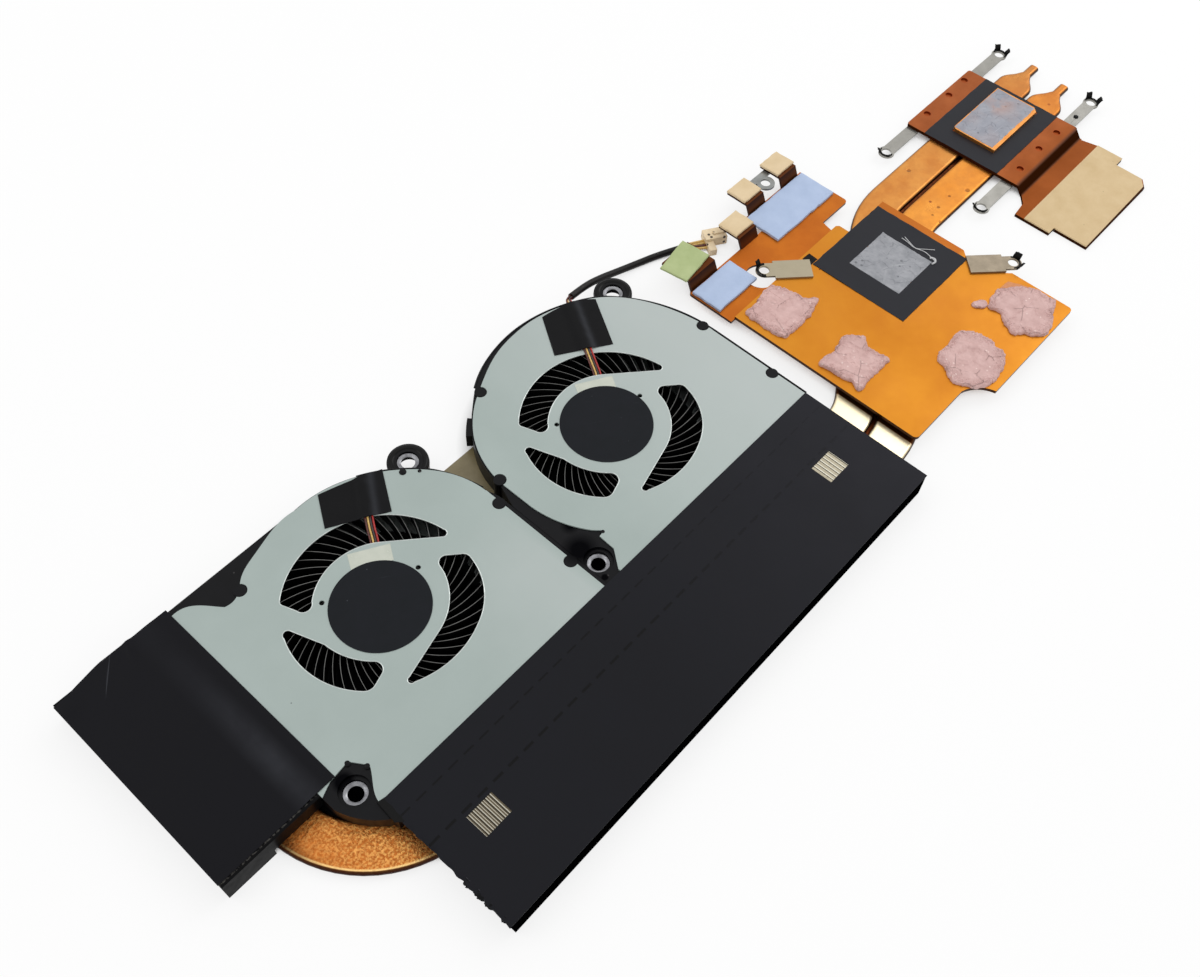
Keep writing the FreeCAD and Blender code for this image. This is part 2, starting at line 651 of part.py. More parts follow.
def wire_places(hub, rim, index):
    along = vector(rim[0] - WIRE_OUTER[0], rim[1] - WIRE_OUTER[1])
    across = vector(-along.y, along.x).normalize() * (index - (WIRE_COUNT - 1) / 2) * WIRE_PITCH
    under = COVER_UNDER - BOARD_THICKNESS - WIRE_RADIUS
    low = COVER_UNDER - WIRE_RADIUS - FIT_CLEARANCE
    high = BODY_HEIGHT + WIRE_RADIUS + WIRE_LIFT
    route = [(WIRE_JOINT, under), (WIRE_LEAVE, under), (WIRE_PASS, low), (WIRE_INNER, low)]
    route += [(WIRE_OUTER, high), (rim, high)]
    places = []
    for place, height in route:
        point = shift(hub, place)
        places.append((point[0] + across.x, point[1] + across.y, height))
    return places


def sleeve_entry(index):
    # Four wires meet the sleeve's end in a square, and run straight for a moment before it
    start, heading = vector(*LEAD_POINTS[0]), vector(*LEAD_POINTS[1]) - vector(*LEAD_POINTS[0])
    heading.normalize()
    side = vector(-heading.y, heading.x).normalize()
    rise = heading.cross(side) * -1
    if rise.z < 0:
        rise = rise * -1
    step = WIRE_RADIUS + WIRE_LIFT
    across = side * step * (1 if index >= WIRE_COUNT / 2 else -1)
    end = start + across + rise * step * (1 if index % 2 else -1)
    before = end - heading * ENTRY_RUN
    return [(before.x, before.y, before.z), (end.x, end.y, end.z)]


def build_wires(hub, rim, sleeve):
    wires = []
    for index in range(WIRE_COUNT):
        places = wire_places(hub, rim, index)
        if sleeve:
            places += sleeve_entry(index)
        wires.append(tube(places, WIRE_RADIUS)[0])
    return Part.makeCompound(wires)


def build_patch(hub, corners, rim):
    # The tape square rises over the wires in a low tunnel
    sheet = plate([shift(hub, corner) for corner in corners], BODY_HEIGHT, TAPE_TOP)
    along = vector(rim[0] - WIRE_OUTER[0], rim[1] - WIRE_OUTER[1])
    angle = math.degrees(math.atan2(along.y, along.x))
    height = 2 * WIRE_RADIUS + FIT_CLEARANCE

    def tunnel(width, top, low):
        block = box(-4.0, along.Length + 4.0, -width / 2, width / 2, low, top)
        block.rotate(vector(0, 0, 0), vector(0, 0, 1), angle)
        block.translate(vector(*shift(hub, WIRE_OUTER)))
        return block

    outline = plate([shift(hub, corner) for corner in corners], BODY_HEIGHT, BODY_HEIGHT + height + TAPE_SHEET)
    roof = tunnel(PATCH_TUNNEL + 2 * TAPE_SHEET, BODY_HEIGHT + height + TAPE_SHEET, BODY_HEIGHT).common(outline)
    inside = tunnel(PATCH_TUNNEL, BODY_HEIGHT + height, BODY_HEIGHT - 1)
    return sheet.fuse(roof).removeSplitter().cut(inside)


# Graphics side. The outline is read along the plate's edge from its lower left corner.
GPU_OUTLINE = [
    (159.0, 10.2), ("arc", (159.4, 9.4), (160.2, 9.0)), (180.5, 9.0), ("arc", (184.6, 6.6), (187.0, 2.2)),
    (226.2, 2.1), ("arc", (227.0, 2.5), (227.3, 3.4)), (227.3, 22.0), ("arc", (225.3, 25.2), (225.2, 29.0)),
    (222.9, 34.6), (225.3, 37.2), (225.3, 66.0), (208.0, 66.0), (208.0, 69.4), (207.2, 70.2), (193.5, 70.1),
    (159.0, 69.8),
]
GPU_SLOT = (190.2, 68.6)
GPU_FILM = (190.1, 222.7, 34.5, 65.9)
GPU_WINDOW = (197.8, 214.7, 41.3, 58.5)
COLD_BLOCK = (192.0, 221.5, 36.0, 64.0)
PUTTY_1 = [(161.6, 68.3), (169.0, 69.3), (176.2, 69.5), (178.2, 64.5), (180.6, 57.6), (174.0, 56.2), (164.5, 55.2), (161.1, 60.0)]
PUTTY_2 = [(161.2, 42.3), (167.0, 43.1), (173.2, 43.2), (178.2, 39.0), (176.3, 35.6), (175.9, 30.2), (168.0, 29.7), (161.3, 31.0)]
PUTTY_3 = [(181.6, 11.6), (184.3, 17.4), (189.2, 21.1), (197.0, 21.2), (200.9, 16.8), (201.4, 10.0), (195.4, 5.9), (187.4, 5.6)]
PUTTY_4 = [(208.8, 23.3), (213.4, 21.4), (220.2, 21.3), (226.3, 15.6), (226.6, 8.4), (218.0, 3.2), (211.2, 5.0), (208.2, 10.4), (211.2, 16.6)]
LEAF_1 = ((188.2, 65.1), (178.3, 74.3))
LEAF_2 = ((221.0, 33.0), (230.4, 24.0))
SIDE_OUTLINE = [
    (160.5, 66.5), (205.8, 66.5), (205.8, 70.6), (206.7, 74.3), (218.2, 74.3), ("arc", (218.9, 74.7), (219.2, 75.5)),
    (219.2, 92.2), (192.6, 92.2), (192.6, 85.3), (158.6, 85.3), ("arc", (157.9, 85.0), (157.6, 84.3)),
    (157.6, 69.8), (160.5, 69.8),
]
SIDE_HOLE = (176.9, 74.4)
SIDE_HOLE_RADIUS = 4.5
TAB_SLOPE = 1.5
BLUE_PADS = [(158.2, 174.8, 74.4, 84.4), (191.3, 218.5, 79.2, 91.4)]
TABS = [(181.3, 188.9, 85.3, 93.9), (193.8, 201.4, 92.2, 100.8), (209.7, 217.3, 92.2, 100.8)]
GREEN_TAB = (158.6, 170.0, 85.3, 96.4)
GREEN_PAD = [(157.6, 86.6), (169.9, 88.2), (169.0, 97.4), (156.4, 95.2)]
BRACKET_EYE = (205.8, 95.6)
BRACKET_EYE_RADIUS = 2.8
BRACKET_BAR = (196.6, 214.4, 97.2, 99.4)


def leaf(inner, eye, width, z0, z1):
    # A flat leaf from its fixed end to the eye that the screw goes through
    along = vector(eye[0] - inner[0], eye[1] - inner[1])
    bar = box(0, along.Length, -width / 2, width / 2, z0, z1)
    bar = bar.fuse(disc((along.Length, 0), LEAF_EYE + EYE_RIM, z0, z1))
    bar = bar.cut(disc((along.Length, 0), LEAF_EYE, z0 - 1, z1 + 1)).removeSplitter()
    bar.rotate(vector(0, 0, 0), vector(0, 0, 1), math.degrees(math.atan2(along.y, along.x)))
    bar.translate(vector(inner[0], inner[1], 0))
    return bar


def gpu_leaf(inner, eye):
    along = vector(eye[0] - inner[0], eye[1] - inner[1])
    far = (eye[0] + along.x / along.Length * 0.2, eye[1] + along.y / along.Length * 0.2)
    bar = leaf(inner, far, GPU_LEAF_WIDTH, GPU_TOP, GPU_TOP + SPRING_SHEET)
    # The corners beside the eye are cut away
    angle = math.degrees(math.atan2(along.y, along.x))
    cuts = []
    for side in (-1, 1):
        y0, y1 = sorted((side * (LEAF_EYE + EYE_RIM), side * GPU_LEAF_WIDTH))
        block = box(along.Length - 2.6, along.Length + 4, y0, y1, GPU_TOP - 1, GPU_TOP + 2)
        block.rotate(vector(0, 0, 0), vector(0, 0, 1), angle)
        block.translate(vector(inner[0], inner[1], 0))
        cuts.append(block)
    return bar.cut(cuts[0]).cut(cuts[1])


def clip(eye, angle, z):
    # A half ring on the far side of the eye, with two tabs that stand up
    body = ring((0, 0), CLIP_INNER, CLIP_OUTER, 0, CLIP_SHEET)
    body = body.cut(box(-CLIP_OUTER - 1, CLIP_BACK, -CLIP_OUTER - 1, CLIP_OUTER + 1, -1, CLIP_SHEET + 1))
    for side in (-1, 1):
        upright = box(CLIP_OUTER - CLIP_SHEET, CLIP_OUTER, -CLIP_TAB / 2, CLIP_TAB / 2, 0, CLIP_RISE)
        upright.rotate(vector(0, 0, 0), vector(0, 0, 1), side * CLIP_SPREAD)
        body = body.fuse(upright)
    body = body.removeSplitter()
    body.rotate(vector(0, 0, 0), vector(0, 0, 1), angle)
    body.translate(vector(eye[0], eye[1], z))
    return body


def build_gpu_plate():
    body = plate(GPU_OUTLINE, GPU_UNDER, GPU_TOP)
    slot = box(GPU_SLOT[0], GPU_SLOT[0] + 2.2, GPU_SLOT[1] - 2.0, GPU_SLOT[1], GPU_UNDER - 1, GPU_TOP + 1)
    return body.cut(slot)


def tab(x0, x1, y0, y1):
    # A tongue that climbs from the plate's edge and goes on flat
    sheet, rise = SIDE_PLATE_SHEET, TAB_RISE
    profile = [
        vector(x0, y0 - 0.5, SIDE_UNDER), vector(x0, y0, SIDE_UNDER), vector(x0, y0 + TAB_SLOPE, SIDE_UNDER + rise),
        vector(x0, y1, SIDE_UNDER + rise), vector(x0, y1, SIDE_TOP + rise),
        vector(x0, y0 + TAB_SLOPE - sheet * 0.6, SIDE_TOP + rise), vector(x0, y0 - sheet * 0.6, SIDE_TOP),
        vector(x0, y0 - 0.5, SIDE_TOP),
    ]
    return Part.Face(Part.makePolygon(profile + [profile[0]])).extrude(vector(x1 - x0, 0, 0))


def build_side_plate():
    body = plate(SIDE_OUTLINE, SIDE_UNDER, SIDE_TOP)
    body = body.cut(disc(SIDE_HOLE, SIDE_HOLE_RADIUS, SIDE_UNDER - 1, SIDE_TOP + 1))
    return fused([body] + [tab(*place) for place in TABS] + [tab(*GREEN_TAB)])


def build_bracket():
    z1 = TAB_TOP - SIDE_PLATE_SHEET
    z0 = z1 - SPRING_SHEET
    x0, x1, y0, y1 = BRACKET_BAR
    bar = box(x0, x1, y0, y1, z0, z1)
    eye = disc(BRACKET_EYE, BRACKET_EYE_RADIUS, z0, z1)
    neck = box(BRACKET_EYE[0] - 1.8, BRACKET_EYE[0] + 1.8, BRACKET_EYE[1], y1, z0, z1)
    return fused([bar, eye, neck]).cut(disc(BRACKET_EYE, LEAF_EYE, z0 - 1, z1 + 1))


# Processor side
CPU_PLATE = (261.2, 297.4, 40.3, 81.2)
CPU_FILM_Y = (47.9, 74.6)
CPU_BLOCK = (268.3, 294.8, 53.6, 68.9)
CPU_BLOCK_CHAMFER = 1.6
CPU_PASTE = (269.2, 294.2, 55.3, 68.5)
DIMPLES = [(269.5, 79.1), (282.1, 79.1), (291.9, 79.5), (268.3, 43.9), (280.4, 44.4), (290.9, 44.2)]
DIMPLE_RADIUS = 1.1
DIMPLE_DEPTH = 0.55
WING_OUTLINE = [
    (261.2, 38.2), (258.3, 35.9), (252.8, 35.3), (252.8, 23.5), (255.5, 23.5), (255.5, 12.2), (290.7, 12.0),
    (293.8, 14.3), (293.3, 23.5), (297.3, 23.5), (297.6, 32.5), (296.2, 38.2),
]
WING_TOP_Y = 38.2
WING_PAD_OUTLINE = [
    (252.8, 32.2), (252.8, 23.5), (255.5, 23.5), (255.5, 12.6), (290.5, 12.4), (293.5, 14.5), (293.1, 23.5),
    (297.1, 23.5), (297.4, 32.2),
]
LEAF_EYES_X = (246.7, 312.7)
LEAF_Y_UPPER = 78.8
LEAF_Y_LOWER = 43.9


def build_cpu_plate():
    x0, x1, y0, y1 = CPU_PLATE
    flat = rounded_corners(box(x0, x1, y0 - 0.0, y1, PIPE_TOP, CPU_TOP), 0.8)
    low = CPU_TOP - WING_STEP
    bend = [
        vector(x0, y0 + 1.0, PIPE_TOP), vector(x0, y0 + 1.0, CPU_TOP), vector(x0, y0, CPU_TOP),
        vector(x0, WING_TOP_Y, low), vector(x0, WING_TOP_Y - 0.6, low), vector(x0, WING_TOP_Y - 0.6, low - PLATE_SHEET),
        vector(x0, WING_TOP_Y, low - PLATE_SHEET), vector(x0, y0, PIPE_TOP),
    ]
    step = Part.Face(Part.makePolygon(bend + [bend[0]])).extrude(vector(x1 - x0 - 0.6, 0, 0))
    wing = plate(WING_OUTLINE, low - PLATE_SHEET, low)
    body = fused([flat, step, wing])
    for dimple in DIMPLES:
        body = body.cut(disc(dimple, DIMPLE_RADIUS, CPU_TOP - DIMPLE_DEPTH, CPU_TOP + 1))
    return body


def build_cpu_block():
    x0, x1, y0, y1 = CPU_BLOCK
    cut = CPU_BLOCK_CHAMFER
    steps = [(x0, y0), (x1 - cut, y0), (x1, y0 + cut), (x1, y1), (x0 + cut / 2, y1), (x0, y1 - cut / 2)]
    return plate(steps, CPU_TOP, BLOCK_TOP)


def build_cpu_leaf(y, gauge_hole):
    z0 = PIPE_TOP - SPRING_SHEET
    left, right = LEAF_EYES_X
    bar = box(left, right, y - LEAF_WIDTH / 2, y + LEAF_WIDTH / 2, z0, PIPE_TOP)
    for x in LEAF_EYES_X:
        bar = bar.fuse(disc((x, y), LEAF_EYE + EYE_RIM, z0, PIPE_TOP))
    bar = bar.removeSplitter()
    for x in LEAF_EYES_X:
        bar = bar.cut(disc((x, y), LEAF_EYE, z0 - 1, PIPE_TOP + 1))
    if gauge_hole:
        bar = bar.cut(disc((right - LEAF_HOLE_FROM_EYE, y), LEAF_HOLE, z0 - 1, PIPE_TOP + 1))
    return bar


def build_clips():
    clips = []
    for y in (LEAF_Y_UPPER, LEAF_Y_LOWER):
        clips.append(clip((LEAF_EYES_X[0], y), 180, PIPE_TOP))
        clips.append(clip((LEAF_EYES_X[1], y), 0, PIPE_TOP))
    for inner, eye in (LEAF_1, LEAF_2):
        angle = math.degrees(math.atan2(eye[1] - inner[1], eye[0] - inner[0]))
        clips.append(clip(eye, angle, GPU_TOP + SPRING_SHEET))
    return Part.makeCompound(clips)


# Lead of fan 2: a sleeve from the rim to the side plate, then four bare wires to the connector
LEAD_POINTS = [
    (131.9, 106.8, 6.2), (138.0, 107.5, 5.0), (144.5, 107.4, 3.3), (151.0, 106.4, 1.8),
    (158.0, 104.7, 1.05), (165.3, 102.3, 1.05), (171.3, 99.4, 1.2),
]
ENTRY_RUN = 1.4
CORD_NODES = ("fan_2_lead", "fan_2_plug_wires", "fan_2_connector")
PLUG_BACK = (177.7, 95.3)
PLUG_ANGLE = -31.7
PLUG_BAR = (2.2, 7.8)
PLUG_BODY = (6.6, 4.1)
PLUG_HEIGHT = 3.0
PLUG_BAR_HEIGHT = 2.2
PLUG_WIRE_HEIGHT = 1.1
PLUG_WIRE_RADIUS = 0.4
PLUG_WIRE_PITCH = 0.95


def plug_place(x, y):
    turn = math.radians(PLUG_ANGLE)
    return (PLUG_BACK[0] + x * math.cos(turn) - y * math.sin(turn), PLUG_BACK[1] + x * math.sin(turn) + y * math.cos(turn))


def build_connector():
    # A flat bar that the wires enter and a body with its sockets in front of it
    depth, width = PLUG_BAR
    length, body_width = PLUG_BODY
    bar = box(0, depth, -width / 2, width / 2, 0, PLUG_BAR_HEIGHT)
    body = box(0, length, width / 2 - body_width, width / 2, 0, PLUG_HEIGHT)
    for index in range(WIRE_COUNT):
        y = width / 2 - body_width / 2 + (index - (WIRE_COUNT - 1) / 2) * PLUG_WIRE_PITCH
        body = body.cut(box(length - 2.4, length + 1, y - 0.32, y + 0.32, 0.8, 2.2))
    plug = fused([bar, body, box(depth + 0.6, length - 0.6, width / 2 - 2.6, width / 2 - 1.4, PLUG_HEIGHT - 0.2, PLUG_HEIGHT + 0.4)])
    plug.rotate(vector(0, 0, 0), vector(0, 0, 1), PLUG_ANGLE)
    plug.translate(vector(PLUG_BACK[0], PLUG_BACK[1], 0))
    return plug


def build_plug_wires():
    # The wires leave the sleeve's end in a square and spread out before the connector's back
    end, before = vector(*LEAD_POINTS[-1]), vector(*LEAD_POINTS[-2])
    heading = (end - before).normalize()
    side = vector(-heading.y, heading.x).normalize()
    wires = []
    step = PLUG_WIRE_RADIUS + WIRE_LIFT
    for index in range(WIRE_COUNT):
        sign = 1 if index >= WIRE_COUNT / 2 else -1
        rise = heading.cross(side) * step * (1 if index % 2 else -1)
        start = end + side * step * sign + rise
        leave = start + heading * ENTRY_RUN
        y = (index - (WIRE_COUNT - 1) / 2) * PLUG_WIRE_PITCH
        back = plug_place(0, y)
        near = plug_place(-ENTRY_RUN, y)
        places = [(start.x, start.y, start.z), (leave.x, leave.y, leave.z)]
        places += [(near[0], near[1], PLUG_WIRE_HEIGHT), (back[0], back[1], PLUG_WIRE_HEIGHT)]
        wires.append(tube(places, PLUG_WIRE_RADIUS)[0])
    return Part.makeCompound(wires)


def build_bridge(housings):
    # A thin sheet closes the opening between the two round housings
    sheet = box(60.0, 84.0, 60.0, BRIDGE_TOP, BACK_SHEET, BACK_SHEET + BRIDGE_SHEET)
    for outline in (housing_1_outline(0), housing_2_outline(0)):
        sheet = sheet.cut(plate(outline, -1, BODY_HEIGHT))
    for housing in housings:
        sheet = sheet.cut(housing)
    return max(sheet.Solids, key=lambda solid: solid.Volume)


def film_with_window(outer, window, z0, z1):
    x0, x1, y0, y1 = outer
    a0, a1, b0, b1 = window
    return box(x0, x1, y0, y1, z0, z1).cut(box(a0, a1, b0, b1, z0 - 1, z1 + 1))


def build_fans(nodes):
    pipe_space = corner_clearance()
    left = HOUSING_1_LEFT
    sill_top = BACK_SHEET + SILL_HEIGHT
    inner_right = HOUSING_1_RIGHT - HOUSING_WALL / 2
    sills_1 = [box(left, left + SILL_DEPTH, 50, 106, BACK_SHEET, sill_top)]
    sills_1.append(box(0, inner_right, FAN_FRONT, FAN_FRONT + SILL_DEPTH, BACK_SHEET, sill_top))
    low, middle, high = TAB_ANGLES
    inner = [polar(HUB_2, angle, SCROLL_2[-2][1]) for angle in (low, high)]
    outer = [polar(HUB_2, angle, SCROLL_2[-3][1] + TAB_REACH) for angle in TAB_ANGLES]
    side_tab = plate([inner[0], outer[0], ("arc", outer[1], outer[2]), inner[1]], SILL_HEIGHT * 2, COVER_UNDER - SILL_HEIGHT)
    sills_2 = [side_tab, box(79, HOUSING_2_RIGHT - HOUSING_WALL / 2, FAN_FRONT, FAN_FRONT + SILL_DEPTH, BACK_SHEET, sill_top)]
    ears_1 = [(EAR_1_UPPER, BOOT_RADIUS), (EAR_1_LOWER, POCKET_RADIUS)]
    ears_2 = [(EAR_2_UPPER, BOOT_RADIUS), (EAR_2_LOWER, BUSH_RADIUS + BUSH_SEAT)]
    housing_1 = build_housing(housing_1_outline(0), housing_1_cavity(), STUDS_1, ears_1, sills_1)
    nodes["fan_1_housing"] = housing_1.cut(pipe_space)
    nodes["fan_2_housing"] = build_housing(housing_2_outline(0), housing_2_cavity(), STUDS_2, ears_2, sills_2)
    outlines = {
        "fan_1": (HUB_1, cover_1_outline(), housing_1_outline(COVER_INSET), STUDS_1, PATCH_1, WIRE_RIM_1, (0, 0)),
        "fan_2": (HUB_2, cover_2_outline(), housing_2_outline(COVER_INSET), STUDS_2, PATCH_2, WIRE_RIM_2, LABEL_SHIFT_2),
    }
    for name, (hub, cover, back, studs, patch, rim, label_shift) in outlines.items():
        nodes[name + "_cover"] = build_cover(cover, hub, studs)
        nodes[name + "_back_cover"] = build_back_cover(back, hub, pipe_space)
        cup, magnet, shaft = build_rotor(hub)
        bearing, stator = build_motor(hub)
        nodes[name + "_hub"] = cup
        nodes[name + "_magnet"] = magnet
        nodes[name + "_shaft"] = shaft
        nodes[name + "_blades"] = build_blades(hub)
        nodes[name + "_bearing"] = bearing
        nodes[name + "_stator"] = stator
        label = disc(shift(hub, label_shift), LABEL_RADIUS, BODY_HEIGHT, BODY_HEIGHT + LABEL_SHEET)
        nodes[name + "_label"] = label
        nodes[name + "_tape_patch"] = build_patch(hub, patch, rim)
        nodes[name + "_wires"] = build_wires(hub, rim, name == "fan_2")
    ears = (EAR_1_UPPER, EAR_1_LOWER, EAR_2_UPPER, EAR_2_LOWER)
    low, high = EAR_BOTTOM - BUSH_PROUD, EAR_BOTTOM + EAR_HEIGHT + BUSH_PROUD
    nodes["ear_bushes"] = Part.makeCompound([ring(centre, BUSH_BORE, BUSH_RADIUS, low, high) for centre in ears])


def build_gpu(nodes):
    nodes["gpu_plate"] = build_gpu_plate()
    x0, x1, y0, y1 = COLD_BLOCK
    nodes["gpu_cold_block"] = box(x0, x1, y0, y1, PIPE_TOP, GPU_UNDER)
    nodes["gpu_film"] = film_with_window(GPU_FILM, GPU_WINDOW, GPU_TOP, GPU_TOP + FILM_SHEET)
    x0, x1, y0, y1 = GPU_WINDOW
    nodes["gpu_paste"] = box(x0, x1, y0, y1, GPU_TOP, GPU_TOP + PASTE_THICKNESS)
    for index, dab in enumerate((PUTTY_1, PUTTY_2, PUTTY_3, PUTTY_4), start=1):
        nodes["putty_%d" % index] = blob(dab, GPU_TOP, GPU_TOP + PUTTY_THICKNESS)
    nodes["gpu_leaf_1"] = gpu_leaf(*LEAF_1)
    nodes["gpu_leaf_2"] = gpu_leaf(*LEAF_2)
    nodes["side_plate"] = build_side_plate()
    for index, (x0, x1, y0, y1) in enumerate(BLUE_PADS, start=1):
        nodes["blue_pad_%d" % index] = box(x0, x1, y0, y1, SIDE_TOP, SIDE_TOP + PAD_THICKNESS)
    pads = []
    for x0, x1, y0, y1 in TABS:
        pads.append(box(x0 - 0.2, x1 + 0.2, y0 + TAB_SLOPE + 0.5, y1 + 0.1, TAB_TOP, TAB_TOP + TAB_PAD_THICKNESS))
    nodes["tan_pads"] = Part.makeCompound(pads)
    nodes["green_pad"] = plate(GREEN_PAD, TAB_TOP, TAB_TOP + TAB_PAD_THICKNESS)
    nodes["steel_bracket"] = build_bracket()


def build_cpu(nodes):
    nodes["cpu_plate"] = build_cpu_plate()
    film = (CPU_PLATE[0], CPU_PLATE[1], CPU_FILM_Y[0], CPU_FILM_Y[1])
    nodes["cpu_film"] = film_with_window(film, CPU_BLOCK, CPU_TOP, CPU_TOP + FILM_SHEET)
    nodes["cpu_cold_block"] = build_cpu_block()
    x0, x1, y0, y1 = CPU_PASTE
    nodes["cpu_paste"] = box(x0, x1, y0, y1, BLOCK_TOP, BLOCK_TOP + PASTE_THICKNESS / 2)
    nodes["cpu_leaf_upper"] = build_cpu_leaf(LEAF_Y_UPPER, False)
    nodes["cpu_leaf_lower"] = build_cpu_leaf(LEAF_Y_LOWER, True)
    low = CPU_TOP - WING_STEP
    nodes["wing_pad"] = plate(WING_PAD_OUTLINE, low, low + WING_PAD_THICKNESS)
    nodes["leaf_clips"] = build_clips()


def build():
    nodes = {}
    nodes["main_fin_stack"] = build_main_stack()
    nodes["left_fin_stack"] = build_left_stack()
    nodes["main_tape"] = build_main_tape()
    nodes["left_tape"] = build_left_tape()
    nodes["long_heat_pipe"] = build_long_pipe()
    nodes["short_heat_pipe"] = build_short_pipe()
    build_fans(nodes)
    nodes["bridging_sheet"] = build_bridge([nodes["fan_1_housing"], nodes["fan_2_housing"]])
    build_gpu(nodes)
    build_cpu(nodes)
    lead, length, radii = tube(LEAD_POINTS, LEAD_RADIUS)
    nodes["fan_2_lead"] = lead
    nodes["fan_2_plug_wires"] = build_plug_wires()
    nodes["fan_2_connector"] = build_connector()
    print("lead length %.1f, volume against section times length %.4f" % (
        length, lead.Volume / (math.pi * LEAD_RADIUS ** 2 * length)))
    print("lead radii", ["%.1f" % radius for radius in radii])
    return nodes


def main():
    os.makedirs("parts", exist_ok=True)
    nodes = build()
    total = FreeCAD.BoundBox()
    for name, shape in nodes.items():
        if name not in CORD_NODES:
            total.add(shape.optimalBoundingBox(False))
    move = vector(-(total.XMin + total.XMax) / 2, -(total.YMin + total.YMax) / 2, -total.ZMin)
    for name, shape in nodes.items():
        shape.translate(move)
        shape.exportStep("parts/" + name + ".step")
    print("nodes", len(nodes), "moved by", move)
    print("size %.2f %.2f %.2f" % (total.XLength, total.YLength, total.ZLength))


main()
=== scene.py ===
# %% [markdown]
# # The looks of a laptop's cooling module
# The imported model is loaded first. It is the fixed frame: every solid of the real object is in it,
# at its real size and place, in metres. This lesson dresses it, piece by piece and finish by
# finish, as a model maker would, and leaves the frame itself alone.

# %% Load the frame
import math
import bpy
import bmesh
import numpy as np
from mathutils import Matrix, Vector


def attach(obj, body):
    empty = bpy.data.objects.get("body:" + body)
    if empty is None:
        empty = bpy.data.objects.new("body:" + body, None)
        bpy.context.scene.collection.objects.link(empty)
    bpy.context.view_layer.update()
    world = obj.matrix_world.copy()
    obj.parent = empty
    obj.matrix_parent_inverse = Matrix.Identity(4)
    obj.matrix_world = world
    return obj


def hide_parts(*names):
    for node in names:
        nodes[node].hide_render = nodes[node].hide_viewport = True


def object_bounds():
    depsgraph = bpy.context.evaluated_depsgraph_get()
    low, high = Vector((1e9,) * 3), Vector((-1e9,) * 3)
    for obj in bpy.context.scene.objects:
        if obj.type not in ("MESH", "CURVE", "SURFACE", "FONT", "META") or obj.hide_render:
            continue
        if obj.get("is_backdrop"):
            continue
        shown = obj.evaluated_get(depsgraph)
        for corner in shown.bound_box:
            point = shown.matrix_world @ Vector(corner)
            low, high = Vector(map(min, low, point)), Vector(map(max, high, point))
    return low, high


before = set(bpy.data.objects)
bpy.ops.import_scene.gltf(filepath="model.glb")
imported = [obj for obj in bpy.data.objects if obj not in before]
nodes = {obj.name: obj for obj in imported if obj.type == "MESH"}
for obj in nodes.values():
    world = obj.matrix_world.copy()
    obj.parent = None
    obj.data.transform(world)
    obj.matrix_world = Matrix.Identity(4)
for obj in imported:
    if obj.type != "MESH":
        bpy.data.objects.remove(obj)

CAD_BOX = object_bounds()
scene = bpy.context.scene
print("frame:", len(nodes), "nodes, box", [round(float(v), 4) for corner in CAD_BOX for v in corner])

# %% [markdown]
# The places below are read in the maker's layout: millimetres from the front left corner of the
# long fin stack, floor at zero. One function turns them into the frame's metres.

# %% Layout millimetres to metres
LAYOUT_ORIGIN = np.array((140.275, 54.5415, 0.0))
FAN_TOP, TAPE_TOP = 7.2, 7.35
X, Y, Z = range(3)


def row(points):
    """A layout place in the frame: the origin's place is taken away and the rest divided by 1000."""
    return (np.asarray(points, float) - LAYOUT_ORIGIN) / 1000.0


def at(axis, place):
    """A layout place on one axis, in the frame's metres."""
    return float((place - LAYOUT_ORIGIN[axis]) / 1000.0)


print("long stack's corner is at", row((0, 0, 0)).round(5))

# %% [markdown]
# The camera stands where the photographer stood: in front of the left end of the stack and about
# a quarter of a metre above it, looking down by 57 degrees. Its three directions are written as
# the rows of a matrix, which keeps the slight roll of a camera held in the hand.

# %% Camera
LENS = 36.79
EYE = (-39.56, -48.50, 262.59)
RIGHT = (0.670064, -0.741689, 0.030210)
UP = (0.609920, 0.573304, 0.547101)
BACK = (-0.423099, -0.348167, 0.836521)

camera_data = bpy.data.cameras.new("camera")
camera_data.lens = LENS
camera_data.sensor_width = 36.0
camera_data.clip_start = 0.01
camera = bpy.data.objects.new("camera", camera_data)
place = row(EYE)
camera.matrix_world = Matrix([(RIGHT[i], UP[i], BACK[i], place[i]) for i in range(3)] + [(0, 0, 0, 1)])
scene.collection.objects.link(camera)
scene.camera = camera
print("camera at", place.round(4), "lens", LENS)

# %% [markdown]
# Colours are noted as they look on the object, in the 0 to 255 steps of a screen. A shader counts
# light instead, so each is turned into linear light once, here.

# %% Colours
def tone(red, green, blue):
    """A screen colour as linear light: below 0.04 a straight line, above it a power of 2.4."""
    share = np.array((red, green, blue)) / 255.0
    light = np.where(share <= 0.04045, share / 12.92, ((share + 0.055) / 1.055) ** 2.4)
    return (*light.tolist(), 1.0)


def as_light(colour):
    """Three numbers are a screen colour, and four are light already."""
    return colour if len(colour) == 4 else tone(*colour)


print("the fan cover's grey as light:", [round(v, 3) for v in tone(169, 179, 176)])

# %% [markdown]
# A node tree is drawn by hand in Blender, but here it is written. A small drawing board places a
# node, sets or joins its sockets, and knows the few nodes that every finish needs: a sum, a mix
# of two colours and a change of range. The board of one finish also keeps how the surface looks so
# far, and lays one thing after another over it, as a painter does.

